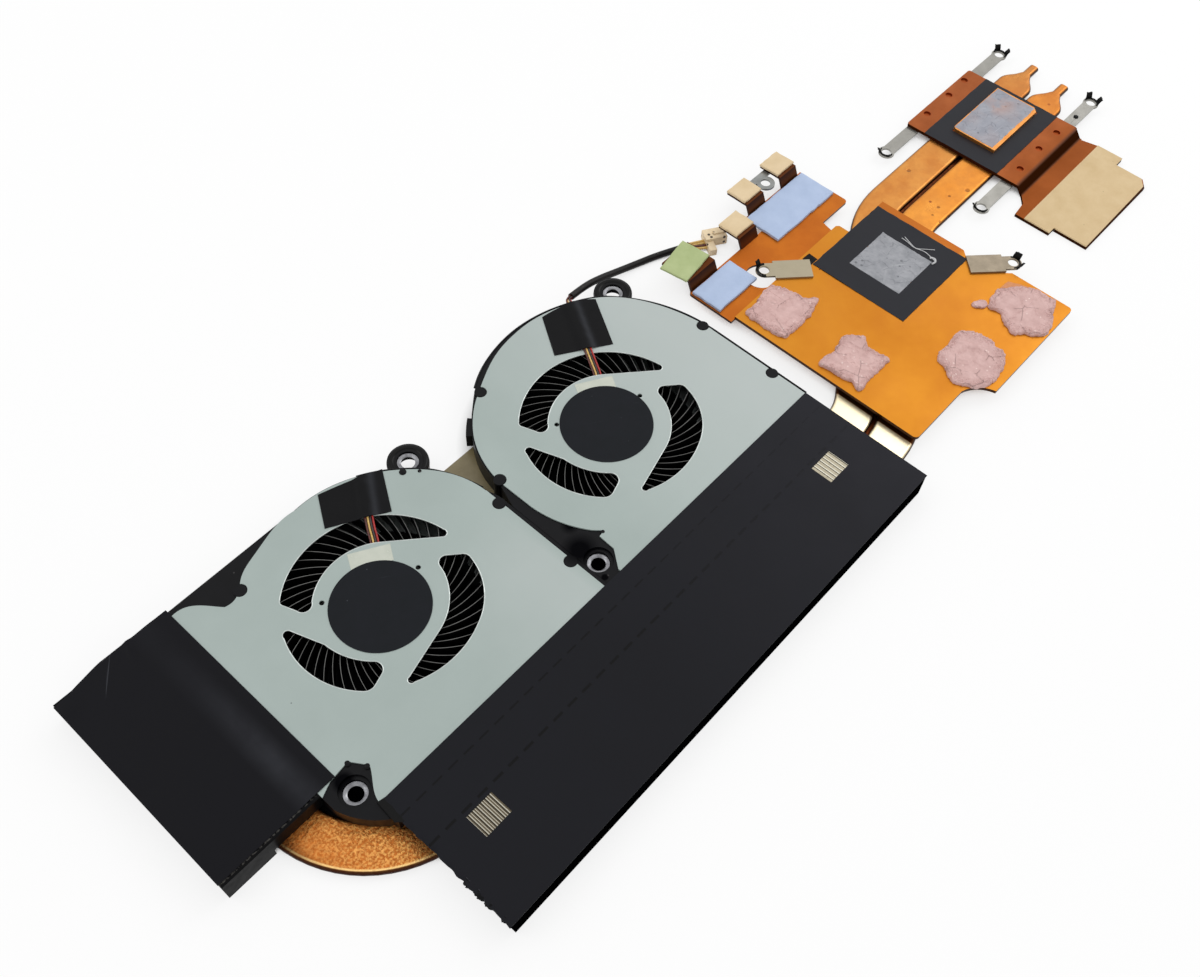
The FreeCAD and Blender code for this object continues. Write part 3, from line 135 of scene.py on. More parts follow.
# %% Drawing board for nodes
class Board:
    """Places nodes in a tree. A socket given as a value is joined, a number or colour is set."""

    def __init__(self, tree):
        self.tree = tree

    def node(self, kind, inputs=None, **settings):
        node = self.tree.nodes.new(kind)
        for key, value in settings.items():
            setattr(node, key, value)
        for key, value in (inputs or {}).items():
            if isinstance(value, bpy.types.NodeSocket):
                self.tree.links.new(value, node.inputs[key])
            else:
                node.inputs[key].default_value = value
        return node

    def math(self, operation, first, second=0.0, clamp=False):
        inputs = {0: first, 1: second}
        return self.node("ShaderNodeMath", inputs, operation=operation, use_clamp=clamp).outputs[0]

    def product(self, first, *others):
        for value in others:
            first = self.math("MULTIPLY", first, value)
        return first

    def most(self, first, *others):
        for value in others:
            first = self.math("MAXIMUM", first, value)
        return first

    def rest(self, value):
        return self.math("SUBTRACT", 1.0, value)

    def mix(self, share, first, second):
        return self.node("ShaderNodeMix", {0: share, 6: first, 7: second}, data_type="RGBA").outputs[2]

    def spread(self, value, low, high, first=0.0, last=1.0):
        inputs = {"Value": value, "From Min": low, "From Max": high, "To Min": first, "To Max": last}
        return self.node("ShaderNodeMapRange", inputs).outputs[0]

    def split(self, vector):
        return self.node("ShaderNodeSeparateXYZ", {0: vector}).outputs

    def shift(self, vector, amount):
        return self.node("ShaderNodeVectorMath", {0: vector, 1: amount}, operation="ADD").outputs[0]

    def times(self, vector, amount):
        return self.node("ShaderNodeVectorMath", {0: vector, 1: amount}, operation="MULTIPLY").outputs[0]


class Skin(Board):
    """The board of one material. It keeps the shade, roughness, height, metal and shine so far, and
    finds its way on the object by Object coordinates."""

    def __init__(self, name):
        self.material = bpy.data.materials.new(name)
        self.material.use_nodes = True
        super().__init__(self.material.node_tree)
        self.tree.nodes.clear()
        self.where = self.node("ShaderNodeTexCoord").outputs["Object"]

    def effect(self, group, output="Mask", **values):
        """A shared effect, placed in this material with its own values."""
        return self.node("ShaderNodeGroup", {"Vector": self.where, **values}, node_tree=group).outputs[output]

    def paint(self, share, colour):
        """The colour laid over the shade, as thick as the share says."""
        self.shade = self.mix(share, self.shade, as_light(colour))

    def sink(self, share, depth):
        """The surface lowered by a depth in millimetres, or raised where the depth is below zero."""
        self.height = self.math("SUBTRACT", self.height, self.product(share, depth))

    def dull(self, share, shine=0.0):
        """By the share, metal fades to none and the shine to the given one."""
        self.metal = self.spread(share, 0.0, 1.0, self.metal, 0.0)
        self.shine = self.spread(share, 0.0, 1.0, self.shine, shine)

    def near(self, place, inner, outer):
        """1 within the inner distance from a place in the layout plane, 0 beyond the outer one."""
        flat = self.times(self.where, (1.0, 1.0, 0.0))
        spot = (at(X, place[0]), at(Y, place[1]), 0.0)
        far = self.node("ShaderNodeVectorMath", {0: flat, 1: spot}, operation="DISTANCE").outputs["Value"]
        return self.spread(far, inner / 1000, outer / 1000, 1.0, 0.0)

    def over(self, axis, low, high, first=0.0, last=1.0):
        """A slope from the first value to the last between two layout places on an axis."""
        return self.spread(self.split(self.where)[axis], at(axis, low), at(axis, high), first, last)

    def normal(self):
        """The face's own direction, before any bump."""
        return self.split(self.node("ShaderNodeTexCoord").outputs["Normal"])


def shared_group(name, inputs, outputs):
    """An empty node group with named sockets, and a board to draw in it."""
    tree = bpy.data.node_groups.new(name, "ShaderNodeTree")
    for label, kind, value in inputs:
        socket = tree.interface.new_socket(name=label, in_out="INPUT", socket_type=kind)
        if value is not None:
            socket.default_value = value
    for label in outputs:
        tree.interface.new_socket(name=label, in_out="OUTPUT", socket_type="NodeSocketFloat")
    start, end = tree.nodes.new("NodeGroupInput"), tree.nodes.new("NodeGroupOutput")
    return tree, Board(tree), start.outputs, end


NUMBER, VECTOR = "NodeSocketFloat", "NodeSocketVector"
print("drawing board ready")

# %% [markdown]
# Handled metal and plastic is never even. Large soft patches of tarnish or grease are a noise with
# its middle stretched, so most of the surface is one tone or the other. Size is in millimetres.

# %% Shared effect: soft patches
patches, board, start, end = shared_group(
    "soft patches", [("Vector", VECTOR, None), ("Size", NUMBER, 6.0), ("Softness", NUMBER, 0.2)], ["Mask"])
scale = board.math("DIVIDE", 1000.0, start["Size"])
settings = {"Vector": start["Vector"], "Scale": scale, "Detail": 5.0, "Roughness": 0.6}
cloud = board.node("ShaderNodeTexNoise", settings)
low = board.math("SUBTRACT", 0.5, start["Softness"])
high = board.math("ADD", 0.5, start["Softness"])
patches.links.new(board.spread(cloud.outputs[0], low, high), end.inputs["Mask"])
print("soft patches:", len(patches.nodes), "nodes")

# %% [markdown]
# Dust and pits are small round spots, each with its own chance. Voronoi cells give the spots, and
# the random grey of each cell decides whether that cell has one.

# %% Shared effect: specks
specks, board, start, end = shared_group(
    "specks",
    [("Vector", VECTOR, None), ("Size", NUMBER, 1.5), ("Cover", NUMBER, 0.1), ("Radius", NUMBER, 0.2)],
    ["Mask"])
scale = board.math("DIVIDE", 1000.0, start["Size"])
cells = board.node("ShaderNodeTexVoronoi", {"Vector": start["Vector"], "Scale": scale})
chance = board.node("ShaderNodeSeparateColor", {0: cells.outputs["Color"]}).outputs[0]
chosen = board.math("LESS_THAN", chance, start["Cover"])
outer = board.product(start["Radius"], 1.6)
spot = board.spread(cells.outputs["Distance"], start["Radius"], outer, 1.0, 0.0)
specks.links.new(board.product(spot, chosen), end.inputs["Mask"])
print("specks:", len(specks.nodes), "nodes")

# %% [markdown]
# A scratch is long and thin. The same noise does it once its space is squeezed along one
# direction, turned by an angle, and only the highest crests are kept.

# %% Shared effect: scratches
scratches, board, start, end = shared_group(
    "scratches",
    [("Vector", VECTOR, None), ("Size", NUMBER, 0.5), ("Angle", NUMBER, 0.0), ("Cover", NUMBER, 0.3)],
    ["Mask", "Lines"])
settings = {"Vector": start["Vector"], "Angle": start["Angle"]}
turned = board.node("ShaderNodeVectorRotate", settings, rotation_type="Z_AXIS")
squeezed = board.times(turned.outputs[0], (0.035, 1.0, 1.0))
scale = board.math("DIVIDE", 1000.0, start["Size"])
streak = board.node("ShaderNodeTexNoise",
                    {"Vector": squeezed, "Scale": scale, "Detail": 3.0, "Roughness": 0.55})
limit = board.math("SUBTRACT", 0.78, board.product(start["Cover"], 0.25))
above = board.math("ADD", limit, 0.05)
scratches.links.new(board.spread(streak.outputs[0], limit, above), end.inputs["Mask"])
scratches.links.new(streak.outputs[0], end.inputs["Lines"])
print("scratches:", len(scratches.nodes), "nodes")

# %% [markdown]
# Dried paste and putty crack. The thin borders between Voronoi cells look like cracks once a
# noise has pushed them out of line.

# %% Shared effect: cracks
cracks, board, start, end = shared_group(
    "cracks", [("Vector", VECTOR, None), ("Size", NUMBER, 2.0), ("Width", NUMBER, 0.06)], ["Mask"])
scale = board.math("DIVIDE", 1000.0, start["Size"])
push = board.node("ShaderNodeTexNoise", {"Vector": start["Vector"], "Scale": scale, "Detail": 4.0})
offset = board.times(board.shift(push.outputs["Color"], (-0.5, -0.5, -0.5)), (0.0016, 0.0016, 0.0016))
bent = board.shift(start["Vector"], offset)
cells = board.node("ShaderNodeTexVoronoi", {"Vector": bent, "Scale": scale}, feature="DISTANCE_TO_EDGE")
cracks.links.new(board.spread(cells.outputs["Distance"], 0.0, start["Width"], 1.0, 0.0), end.inputs["Mask"])
print("cracks:", len(cracks.nodes), "nodes")

# %% [markdown]
# The long tape is perforated so that it folds in a straight line. Along such a line, a mask is
# one inside each short dash and zero elsewhere, from the remainder of X over the dash's pitch.

# %% Shared effect: perforation
dashes, board, start, end = shared_group(
    "perforation",
    [("Vector", VECTOR, None), ("Line", NUMBER, 0.0), ("Pitch", NUMBER, 3.0), ("Width", NUMBER, 0.2)],
    ["Mask"])
x, y, _ = board.split(start["Vector"])
along = board.product(x, 1000.0)
share = board.math("FRACT", board.math("DIVIDE", along, start["Pitch"]))
dash = board.math("LESS_THAN", share, 0.62)
gap = board.math("ABSOLUTE", board.math("SUBTRACT", board.product(y, 1000.0), start["Line"]))
line = board.spread(gap, board.product(start["Width"], 0.5), start["Width"], 1.0, 0.0)
dashes.links.new(board.product(dash, line), end.inputs["Mask"])
print("perforation:", len(dashes.nodes), "nodes")

# %% [markdown]
# Every finish starts in the same way: two close tones in soft patches, dust or pits, scratches,
# a roughness that follows the patches and a fine grain that bends the light. One function draws
# that, in real millimetres, and hands its board to a second function where a finish needs more.

# %% The common finish
def finish(name, colour, other, patch=6.0, softness=0.2, roughness=0.5, swing=0.08, metallic=0.0,
           specular=0.5, grain=0.3, depth=0.01, dust=None, marks=None, more=None, walls=None):
    """A material in two screen colours. Grain is the size and depth the height of its bumps in
    millimetres. Dust is (colour, size, cover, radius), marks are (colour, size, angle in degrees,
    cover), and the wall shade is (colour, low, high): painted shade on upright faces, by how far
    the face's normal points up. The function given as more takes the board and changes what it likes."""
    board = Skin(name)
    cloud = board.effect(patches, Size=patch, Softness=softness)
    board.shade = board.mix(cloud, as_light(colour), as_light(other))
    board.rough = board.spread(cloud, 0.0, 1.0, roughness - swing, roughness + swing)
    fine = board.node("ShaderNodeTexNoise", {"Vector": board.where, "Scale": 1000.0 / grain, "Detail": 3.0})
    board.height = board.product(fine.outputs[0], depth)
    board.metal, board.shine = metallic, specular
    if marks:
        shade, size, angle, cover = marks
        drawn = board.effect(scratches, Size=size, Angle=math.radians(angle), Cover=cover)
        board.paint(drawn, shade)
        board.sink(drawn, depth)
    if dust:
        shade, size, cover, radius = dust
        spots = board.effect(specks, Size=size, Cover=cover, Radius=radius)
        board.paint(spots, shade)
        board.rough = board.math("ADD", board.rough, board.product(spots, 0.2), clamp=True)
    if more:
        more(board)
    # Painted shade on upright faces.
    if walls:
        shade, low, high = walls
        level = board.math("ABSOLUTE", board.normal()[Z])
        board.paint(board.spread(level, low, high, 1.0, 0.0), shade)
    bump = board.node("ShaderNodeBump", {"Height": board.height, "Distance": 0.001, "Strength": 1.0})
    shader = board.node("ShaderNodeBsdfPrincipled", {
        "Base Color": board.shade, "Roughness": board.rough, "Metallic": board.metal,
        "Specular IOR Level": board.shine, "Normal": bump.outputs[0]})
    board.node("ShaderNodeOutputMaterial", {"Surface": shader.outputs[0]})
    return board.material


print("common finish ready")

# %% [markdown]
# New pieces are surfaces worked out as whole arrays. Whatever their shape, they reach Blender in
# the same way: a list of places, a list of faces, doubles merged and faces turned outwards.

# %% Mesh from arrays
SHARP = math.radians(38)


def new_piece(name, points, faces, material, slot, body="frame", replaces=()):
    """Layout points and faces become a mesh object at the origin that rides on its body."""
    mesh = bpy.data.meshes.new(name)
    mesh.from_pydata(row(points).tolist(), [], [tuple(face) for face in faces])
    work = bmesh.new()
    work.from_mesh(mesh)
    bmesh.ops.remove_doubles(work, verts=work.verts, dist=2e-7)
    bmesh.ops.delete(work, geom=[v for v in work.verts if not v.link_faces], context="VERTS")
    bmesh.ops.recalc_face_normals(work, faces=work.faces)
    work.to_mesh(mesh)
    work.free()
    mesh.polygons.foreach_set("use_smooth", np.ones(len(mesh.polygons), bool))
    mesh.set_sharp_from_angle(angle=SHARP)
    mesh.materials.append(material)
    piece = bpy.data.objects.new(name, mesh)
    scene.collection.objects.link(piece)
    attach(piece, body)
    if replaces:
        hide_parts(*replaces)
    print(name, len(mesh.polygons), "faces")
    return piece


def quads_of(index, keep=None):
    """The quads between neighbours of a grid of vertex numbers, as an array of four columns."""
    quads = np.stack([index[:-1, :-1], index[1:, :-1], index[1:, 1:], index[:-1, 1:]], -1)
    return quads.reshape(-1, 4) if keep is None else quads[keep]


def closed_rings(count, sides):
    """Vertex numbers of rings in a row. The first ring and each ring's first place come again at the end."""
    index = np.arange(count * sides).reshape(count, sides)
    index = np.concatenate([index, index[:1]])
    return np.concatenate([index, index[:, :1]], 1)


def joined(parts):
    """Several (points, faces) pairs as one pair, each part's vertex numbers moved on."""
    points, faces, count = [], [], 0
    for places, quads in parts:
        places = np.asarray(places, float).reshape(-1, 3)
        points.append(places)
        faces += [tuple(int(i) + count for i in face) for face in quads]
        count += len(places)
    return np.concatenate(points), faces


print("mesh helper ready")

# %% [markdown]
# Film, tape and pads are sheets: a top surface, a bottom surface and walls round the edge and
# round every window. Top and bottom are two grids of places, and a mask says which cells exist.

# %% Sheets
def sheet_parts(top, bottom, keep=None):
    """The top grid's quads, the bottom grid's quads, and a wall wherever a cell has no neighbour."""
    rows, columns = top.shape[:2]
    keep = np.ones((rows - 1, columns - 1), bool) if keep is None else keep
    up = np.arange(rows * columns).reshape(rows, columns)
    down = up + rows * columns
    around = np.pad(keep, 1)
    faces = [quads_of(up, keep), quads_of(down, keep)[:, ::-1]]
    sides = [
        (keep & ~around[:-2, 1:-1], (slice(None, -1), slice(None, -1)), (slice(None, -1), slice(1, None))),
        (keep & ~around[2:, 1:-1], (slice(1, None), slice(1, None)), (slice(1, None), slice(None, -1))),
        (keep & ~around[1:-1, :-2], (slice(1, None), slice(None, -1)), (slice(None, -1), slice(None, -1))),
        (keep & ~around[1:-1, 2:], (slice(None, -1), slice(1, None)), (slice(1, None), slice(1, None))),
    ]
    for edge, first, second in sides:
        faces.append(np.stack([up[first], up[second], down[second], down[first]], -1)[edge])
    return np.concatenate([top.reshape(-1, 3), bottom.reshape(-1, 3)]), np.concatenate(faces)


def lattice_noise(x, y, size, seed):
    """Random heights on a square lattice of that size, blended smoothly between its corners, -1 to 1."""
    heights = np.random.default_rng(seed).uniform(-1, 1, (97, 97))
    u, v = np.asarray(x) / size, np.asarray(y) / size
    i, j = np.floor(u).astype(int), np.floor(v).astype(int)
    a, b = u - i, v - j
    a, b = a * a * (3 - 2 * a), b * b * (3 - 2 * b)
    i, j = i % 96, j % 96
    near = heights[i, j] * (1 - a) + heights[i + 1, j] * a
    far = heights[i, j + 1] * (1 - a) + heights[i + 1, j + 1] * a
    return near * (1 - b) + far * b


def rough_noise(x, y, size, seed, octaves=3):
    """Lattice noise added up, each time at half the size and half the height."""
    return sum(lattice_noise(x, y, size / 2 ** k, seed + k) / 2 ** k for k in range(octaves))


def edge_distance(u, v, wide, deep):
    """How far a place is from the nearest side of a rectangle, from its two shares."""
    return np.minimum(np.minimum(u, 1 - u) * wide, np.minimum(v, 1 - v) * deep)


def edge_step(distance, width):
    """0 at the edge, 1 at that width and beyond, rounded like a quarter circle."""
    share = np.clip(distance / width, 0, 1)
    return np.sqrt(np.clip(1 - (1 - share) ** 2, 0, 1))


def stacked(x, y, z):
    return np.stack(np.broadcast_arrays(x, y, z), -1)


def raised(flat, height):
    """Places in the plane, each given its height."""
    return np.concatenate([flat, np.broadcast_to(height, flat.shape[:-1])[..., None]], -1)


def shares(rows, columns, low=0):
    """Two grids of shares, one that grows along the rows and one that grows along the columns."""
    return np.meshgrid(np.linspace(low, 1, rows), np.linspace(low, 1, columns), indexing="ij")


def between_corners(a, b, c, d, u, v):
    """Places between four corners: from side ab to side dc by u, and along both sides by v."""
    u, v = u[..., None], v[..., None]
    return (a * (1 - v) + b * v) * (1 - u) + (d * (1 - v) + c * v) * u


def sheet(name, top, thick, material, slot, replaces=(), keep=None):
    """A piece of sheet as thick as given, below its top grid."""
    return new_piece(name, *sheet_parts(top, top - (0, 0, thick), keep), material, slot, replaces=replaces)


print("noise at a point:", round(float(rough_noise(3.0, 4.0, 2.0, 7)), 3))

# %% [markdown]
# A lead or a wire is a bevelled curve through its route's control points. Order three keeps the
# line inside the corners, and the end points are reached.

# %% Curves for wires
def route(name, points, radius, material, sides=6):
    """An open NURBS spline of order 3 whose control points are the route's points, with a round bevel."""
    curve = bpy.data.curves.new(name, "CURVE")
    curve.dimensions = "3D"
    spline = curve.splines.new("NURBS")
    spline.points.add(len(points) - 1)
    for point, place in zip(spline.points, row(points)):
        point.co = (*place, 1.0)
    spline.order_u = 3
    spline.use_endpoint_u = True
    spline.resolution_u = 12
    curve.bevel_depth = radius / 1000.0
    curve.bevel_resolution = sides
    curve.use_fill_caps = True
    curve.materials.append(material)
    piece = bpy.data.objects.new(name, curve)
    scene.collection.objects.link(piece)
    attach(piece, "frame")
    return piece


print("curve helper ready")

# %% [markdown]
# The second fan's lead is the only free cord. It leaves the housing's rim, drops to the floor and
# ends at its connector, so nearly all of it is seen: 41 millimetres of black sleeve, two
# millimetres thick. A sleeve of shrunk tube is limp, slightly dull and wrinkled across its length.

# %% Lead of fan 2
LEAD_ROUTE = [
    (131.9, 106.8, 6.2), (138.0, 107.5, 5.0), (144.5, 107.4, 3.3), (151.0, 106.4, 1.8),
    (158.0, 104.7, 1.05), (165.3, 102.3, 1.05), (171.3, 99.4, 1.2),
]

black_sleeve = finish("black sleeve", (13, 12, 12), (24, 20, 20), patch=1.2, roughness=0.42, specular=0.2,
                      grain=0.25, depth=0.03, dust=((66, 60, 56), 1.1, 0.12, 0.14))
lead = route("lead_of_fan_2", LEAD_ROUTE, 1.0, black_sleeve, sides=7)
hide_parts("fan_2_lead")

# %% [markdown]
# The sleeve ends before the connector, and four coloured wires spread out between the two. The
# connector's direction is turned by 31.7 degrees, so the places behind it are turned with it.

# %% Plug wires
PLUG_BACK, PLUG_TURN = (177.7, 95.3), math.radians(-31.7)
PLUG_WIRES, PLUG_PITCH, SLEEVE_SPREAD = 4, 0.95, 0.43
WIRE_TONES = [("brown wire", (96, 34, 24), (62, 26, 22)), ("yellow wire", (222, 186, 112), (190, 150, 74)),
              ("dark wire", (30, 22, 22), (52, 40, 38)), ("red wire", (188, 30, 22), (140, 20, 18))]
wire_finishes = [finish(name, first, second, patch=0.8, roughness=0.4, grain=0.2, depth=0.006)
                 for name, first, second in WIRE_TONES]


def behind_plug(x, y):
    """A place read from the middle of the connector's back, x forwards and y to its left."""
    cosine, sine = math.cos(PLUG_TURN), math.sin(PLUG_TURN)
    return PLUG_BACK[0] + x * cosine - y * sine, PLUG_BACK[1] + x * sine + y * cosine


def unit(vector):
    return np.asarray(vector, float) / np.linalg.norm(vector)


sleeve_end, sleeve_before = np.array(LEAD_ROUTE[-1]), np.array(LEAD_ROUTE[-2])
heading = unit(sleeve_end - sleeve_before)
side = unit((-heading[1], heading[0], 0.0))
for index in range(PLUG_WIRES):
    lift = np.cross(heading, side) * SLEEVE_SPREAD * (1 if index % 2 else -1)
    start = sleeve_end + side * SLEEVE_SPREAD * (1 if index > 1 else -1) + lift - heading * 0.8
    y = (index - 1.5) * PLUG_PITCH
    points = [start, start + heading * 2.0, (*behind_plug(-1.4, y), 1.1), (*behind_plug(0.6, y), 1.1)]
    shade = wire_finishes[(1, 0, 1, 1)[index]]
    route(f"plug_wire_{index + 1}", points, 0.4, shade, sides=4)
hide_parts("fan_2_plug_wires")

# %% [markdown]
# The connector is moulded in a cream plastic. Its frame node has the right shape, so it only
# takes a finish: slightly waxy, with small dark marks of handling.

# %% Connector's finish
cream_plastic = finish("cream plastic", (238, 218, 182), (222, 198, 160), patch=2.2, roughness=0.45,
                       grain=0.4, depth=0.02, dust=((60, 44, 32), 1.4, 0.32, 0.24))

# %% [markdown]
# The floor is a pale sheet. Camera, mirror-like and see-through rays find it partly lit from
# itself, so it stays nearly white while the shadow under the object is still there. Where the
# object covers it, as below the fans or in the gap between the pipes, no light reaches the real
# floor, so an occlusion node puts the glow out there, and so does the distance to each fan's hub.
# Within that distance the floor's own colour is painted near black as well: painted shade. Where
# the floor is seen through an ear's hole or beside the first short leaf, the glow is kept on
# though the object shades it there: painted light. The floor lies a hair below the object, and
# it is stage, not a part of the object.

# %% Floor
HUBS = {1: (30.35, 73.2), 2: (105.35, 68.6)}
UNDER_FAN = (33.0, 40.0)
PAINTED_FLOOR_LIGHT_SPOTS = [(65.6, 101.2, 2.2), (143.8, 101.6, 2.2), (180.5, 74.5, 7.0)]
SPOT_EDGE = 0.6
WHITE = (1.0, 1.0, 1.0, 1.0)
PAINTED_FLOOR_SHADE = (0.008, 0.008, 0.009, 1.0)
FLOOR_REACH, FLOOR_Z = 4.0, -0.00005


def ray_share(board, strength):
    """One for camera, glossy and transmission rays, times a strength, and zero for the others."""
    path = board.node("ShaderNodeLightPath").outputs
    seen = board.math("ADD", path["Is Camera Ray"], path["Is Glossy Ray"])
    seen = board.math("ADD", seen, path["Is Transmission Ray"], clamp=True)
    return board.product(seen, strength)


board = Skin("pale floor")
paper = board.node("ShaderNodeTexNoise", {"Scale": 40.0, "Detail": 2.0})
pale = board.mix(paper.outputs[0], (0.93, 0.93, 0.93, 1.0), (0.96, 0.96, 0.96, 1.0))
glow = board.node("ShaderNodeEmission", {"Color": WHITE, "Strength": 1.0})
hidden = board.node("ShaderNodeAmbientOcclusion", {"Distance": 0.012}, samples=8)
uncovered = board.product(*[board.rest(board.near(hub, *UNDER_FAN)) for hub in HUBS.values()])
open_floor = board.product(board.spread(hidden.outputs["AO"], 0.08, 0.32), uncovered)
# Painted light: the glow stays on where the floor is seen through an ear's hole or beside the first short
# leaf, though it is shaded there.
for x, y, radius in PAINTED_FLOOR_LIGHT_SPOTS:
    open_floor = board.most(open_floor, board.near((x, y), radius, radius + SPOT_EDGE))
# Painted shade: within each fan's distance the floor's own colour is painted near black.
matte = board.node("ShaderNodeBsdfDiffuse", {"Color": board.mix(uncovered, PAINTED_FLOOR_SHADE, pale)})
share = board.product(ray_share(board, 0.78), open_floor)
both = board.node("ShaderNodeMixShader", {0: share, 1: matte.outputs[0], 2: glow.outputs[0]})
board.node("ShaderNodeOutputMaterial", {"Surface": both.outputs[0]})
floor_mesh = bpy.data.meshes.new("floor")
signs = ((-1, -1), (1, -1), (1, 1), (-1, 1))
floor_mesh.from_pydata([(x * FLOOR_REACH, y * FLOOR_REACH, FLOOR_Z) for x, y in signs], [], [(0, 1, 2, 3)])
floor_mesh.materials.append(board.material)
floor = bpy.data.objects.new("floor", floor_mesh)
scene.collection.objects.link(floor)
floor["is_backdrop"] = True
print("floor reaches", FLOOR_REACH, "m each way")

# %% [markdown]
# A plain studio: an even pale sky gives most of the light, and three large soft lamps give it a
# direction. Together they bring a level white card to just about its own white.

# %% Light
SKY_STRENGTH = 0.8
world = bpy.data.worlds.new("sky")
scene.world = world
world.use_nodes = True
world.node_tree.nodes.clear()
board = Board(world.node_tree)
strength = board.math("ADD", ray_share(board, 1.0 - SKY_STRENGTH), SKY_STRENGTH)
sky = board.node("ShaderNodeBackground", {"Color": WHITE, "Strength": strength})
board.node("ShaderNodeOutputWorld", {"Surface": sky.outputs[0]})
LAMPS = [
    ("key lamp", (-0.55, 0.75, 1.0), 0.7, 1.5), ("side lamp", (0.8, -0.1, 0.75), 0.7, 2.2),
    ("top lamp", (0.35, 0.45, 1.2), 1.0, 1.1),
]
for name, spot, size, power in LAMPS:
    lamp = bpy.data.lights.new(name, "AREA")
    lamp.shape, lamp.size, lamp.energy = "DISK", size, power
    holder = bpy.data.objects.new(name, lamp)
    back = unit(spot)
    across = unit(np.cross((0.0, 0.0, 1.0), back))
    above = np.cross(back, across)
    holder.matrix_world = Matrix([(across[i], above[i], back[i], spot[i]) for i in range(3)] + [(0, 0, 0, 1)])
    scene.collection.objects.link(holder)
scene.view_settings.view_transform = "Standard"
print("lamps:", len(LAMPS))

# %% [markdown]
# ## The fans
# Each cover is a pressed sheet of pale coated metal with a satin face. Its outline and its three
# slots are in the frame already. The finish is a cool grey in two close tones with a fine grain.

# %% Fan cover's finish
def cover_painted_sheen(board):
    """Painted sheen: each cover's right part is painted a little lighter, on the first fan only in front."""
    second = board.over(X, 84, 140, 0.0, 0.75)
    first = board.product(board.over(X, 34, 62, 0.0, 0.5), board.over(X, 67, 70, 1.0, 0.0),
                          board.over(Y, 56, 74, 1.0, 0.0))
    board.paint(board.most(second, first), (180, 187, 185))


cover_metal = finish("satin cover metal", (163, 175, 171), (155, 167, 163), patch=26.0, softness=0.3,
                     roughness=0.5, swing=0.05, metallic=0.25, specular=0.4, grain=0.25, depth=0.004,
                     dust=((120, 128, 126), 5.0, 0.06, 0.03), more=cover_painted_sheen)
sheared_edge = finish("sheared edge", (214, 220, 217), (178, 186, 183), patch=2.0, roughness=0.35,
                      metallic=0.6, grain=0.2, depth=0.004)
print("cover finishes ready")

# %% [markdown]
# Where the slots were punched, the edge is bright and catches the light as a thin white line. The
# outline of a slot is drawn as it is in the frame, with lines and arcs through three places, and a
# slim bead follows it on the cover's top edge.

# %% Slot outlines
LONG_SLOT = [
    (-15.1, 18.1), ("arc", (0.5, 24.5), (16.6, 18.8)), ("arc", (21.7, 12.6), (24.6, 4.3)),
    ("arc", (23.9, 2.7), (22.6, 3.2)), (11.6, 12.8), ("arc", (1.1, 16.7), (-10.1, 12.4)),
    ("arc", (-12.4, 11.2), (-14.1, 13.1)), (-15.3, 16.3), ("arc", (-15.5, 17.4), (-15.1, 18.1)),
]
LEFT_SLOT = [
    (-20.7, 9.8), ("arc", (-19.4, 11.1), (-18.3, 10.0)), (-15.3, 1.8), ("arc", (-13.8, -4.4), (-10.5, -9.4)),
    ("arc", (-10.0, -11.7), (-11.3, -13.0)), (-14.0, -13.9), ("arc", (-15.9, -14.0), (-17.3, -13.0)),
    ("arc", (-22.2, -2.7), (-20.7, 9.8)),
]
LOWER_SLOT = [
    (16.9, -2.0), ("arc", (18.6, -0.8), (20.1, -1.4)), (22.6, -3.6), ("arc", (23.5, -4.7), (23.5, -6.2)),
    ("arc", (20.3, -13.6), (12.2, -19.9)), ("arc", (1.2, -22.0), (-7.7, -19.9)),
    ("arc", (-8.8, -18.8), (-7.7, -18.0)), (5.2, -14.5), ("arc", (12.4, -10.2), (16.3, -4.2)),
]


def arc_points(first, middle, last, step=0.35):
    """Places on the circle through three places: its centre is as far from each of them."""
    a, b, c = (complex(*p) for p in (first, middle, last))
    w = (c - a) / (b - a)
    centre = (b - a) * (w - abs(w) ** 2) / (2j * w.imag) + a
    radius = abs(a - centre)
    start = np.angle(a - centre)
    turn = (np.angle(c - centre) - start) % (2 * np.pi)
    through = (np.angle(b - centre) - start) % (2 * np.pi)
    turn = turn if through < turn else turn - 2 * np.pi
    count = max(3, int(abs(turn) * radius / step))
    angles = start + turn * np.arange(1, count + 1) / count
    return np.stack([centre.real + radius * np.cos(angles), centre.imag + radius * np.sin(angles)], -1)


def traced(steps, step=0.35):
    """A closed outline of lines and arcs as evenly close places."""
    places = [np.array([steps[0]], float)]
    for item in steps[1:]:
        last = places[-1][-1]
        if item[0] == "arc":
            places.append(arc_points(last, item[1], item[2], step))
        else:
            count = max(1, int(math.dist(last, item) / step))
            places.append(last + (np.array(item) - last) * (np.arange(1, count + 1) / count)[:, None])
    outline = np.concatenate(places)
    return outline[:-1] if math.dist(outline[0], outline[-1]) < 1e-6 else outline


def outward(outline):
    """The unit normal at each place of a closed outline: its neighbours' chord turned by a right angle."""
    chord = np.roll(outline, -1, 0) - np.roll(outline, 1, 0)
    chord /= np.linalg.norm(chord, axis=1)[:, None]
    return np.stack([chord[:, 1], -chord[:, 0]], -1)


def bead_parts(outline, z, radius, sides=8):
    """A closed tube along the outline: each ring is the outline moved by a small circle's two parts."""
    turn = 2 * np.pi * np.arange(sides) / sides
    normal = outward(outline)
    spread = radius * np.cos(turn)[None, :, None] * normal[:, None, :]
    flat = outline[:, None, :] + spread
    height = np.broadcast_to(z + radius * np.sin(turn), flat.shape[:2])
    return raised(flat, height).reshape(-1, 3), quads_of(closed_rings(len(outline), sides))


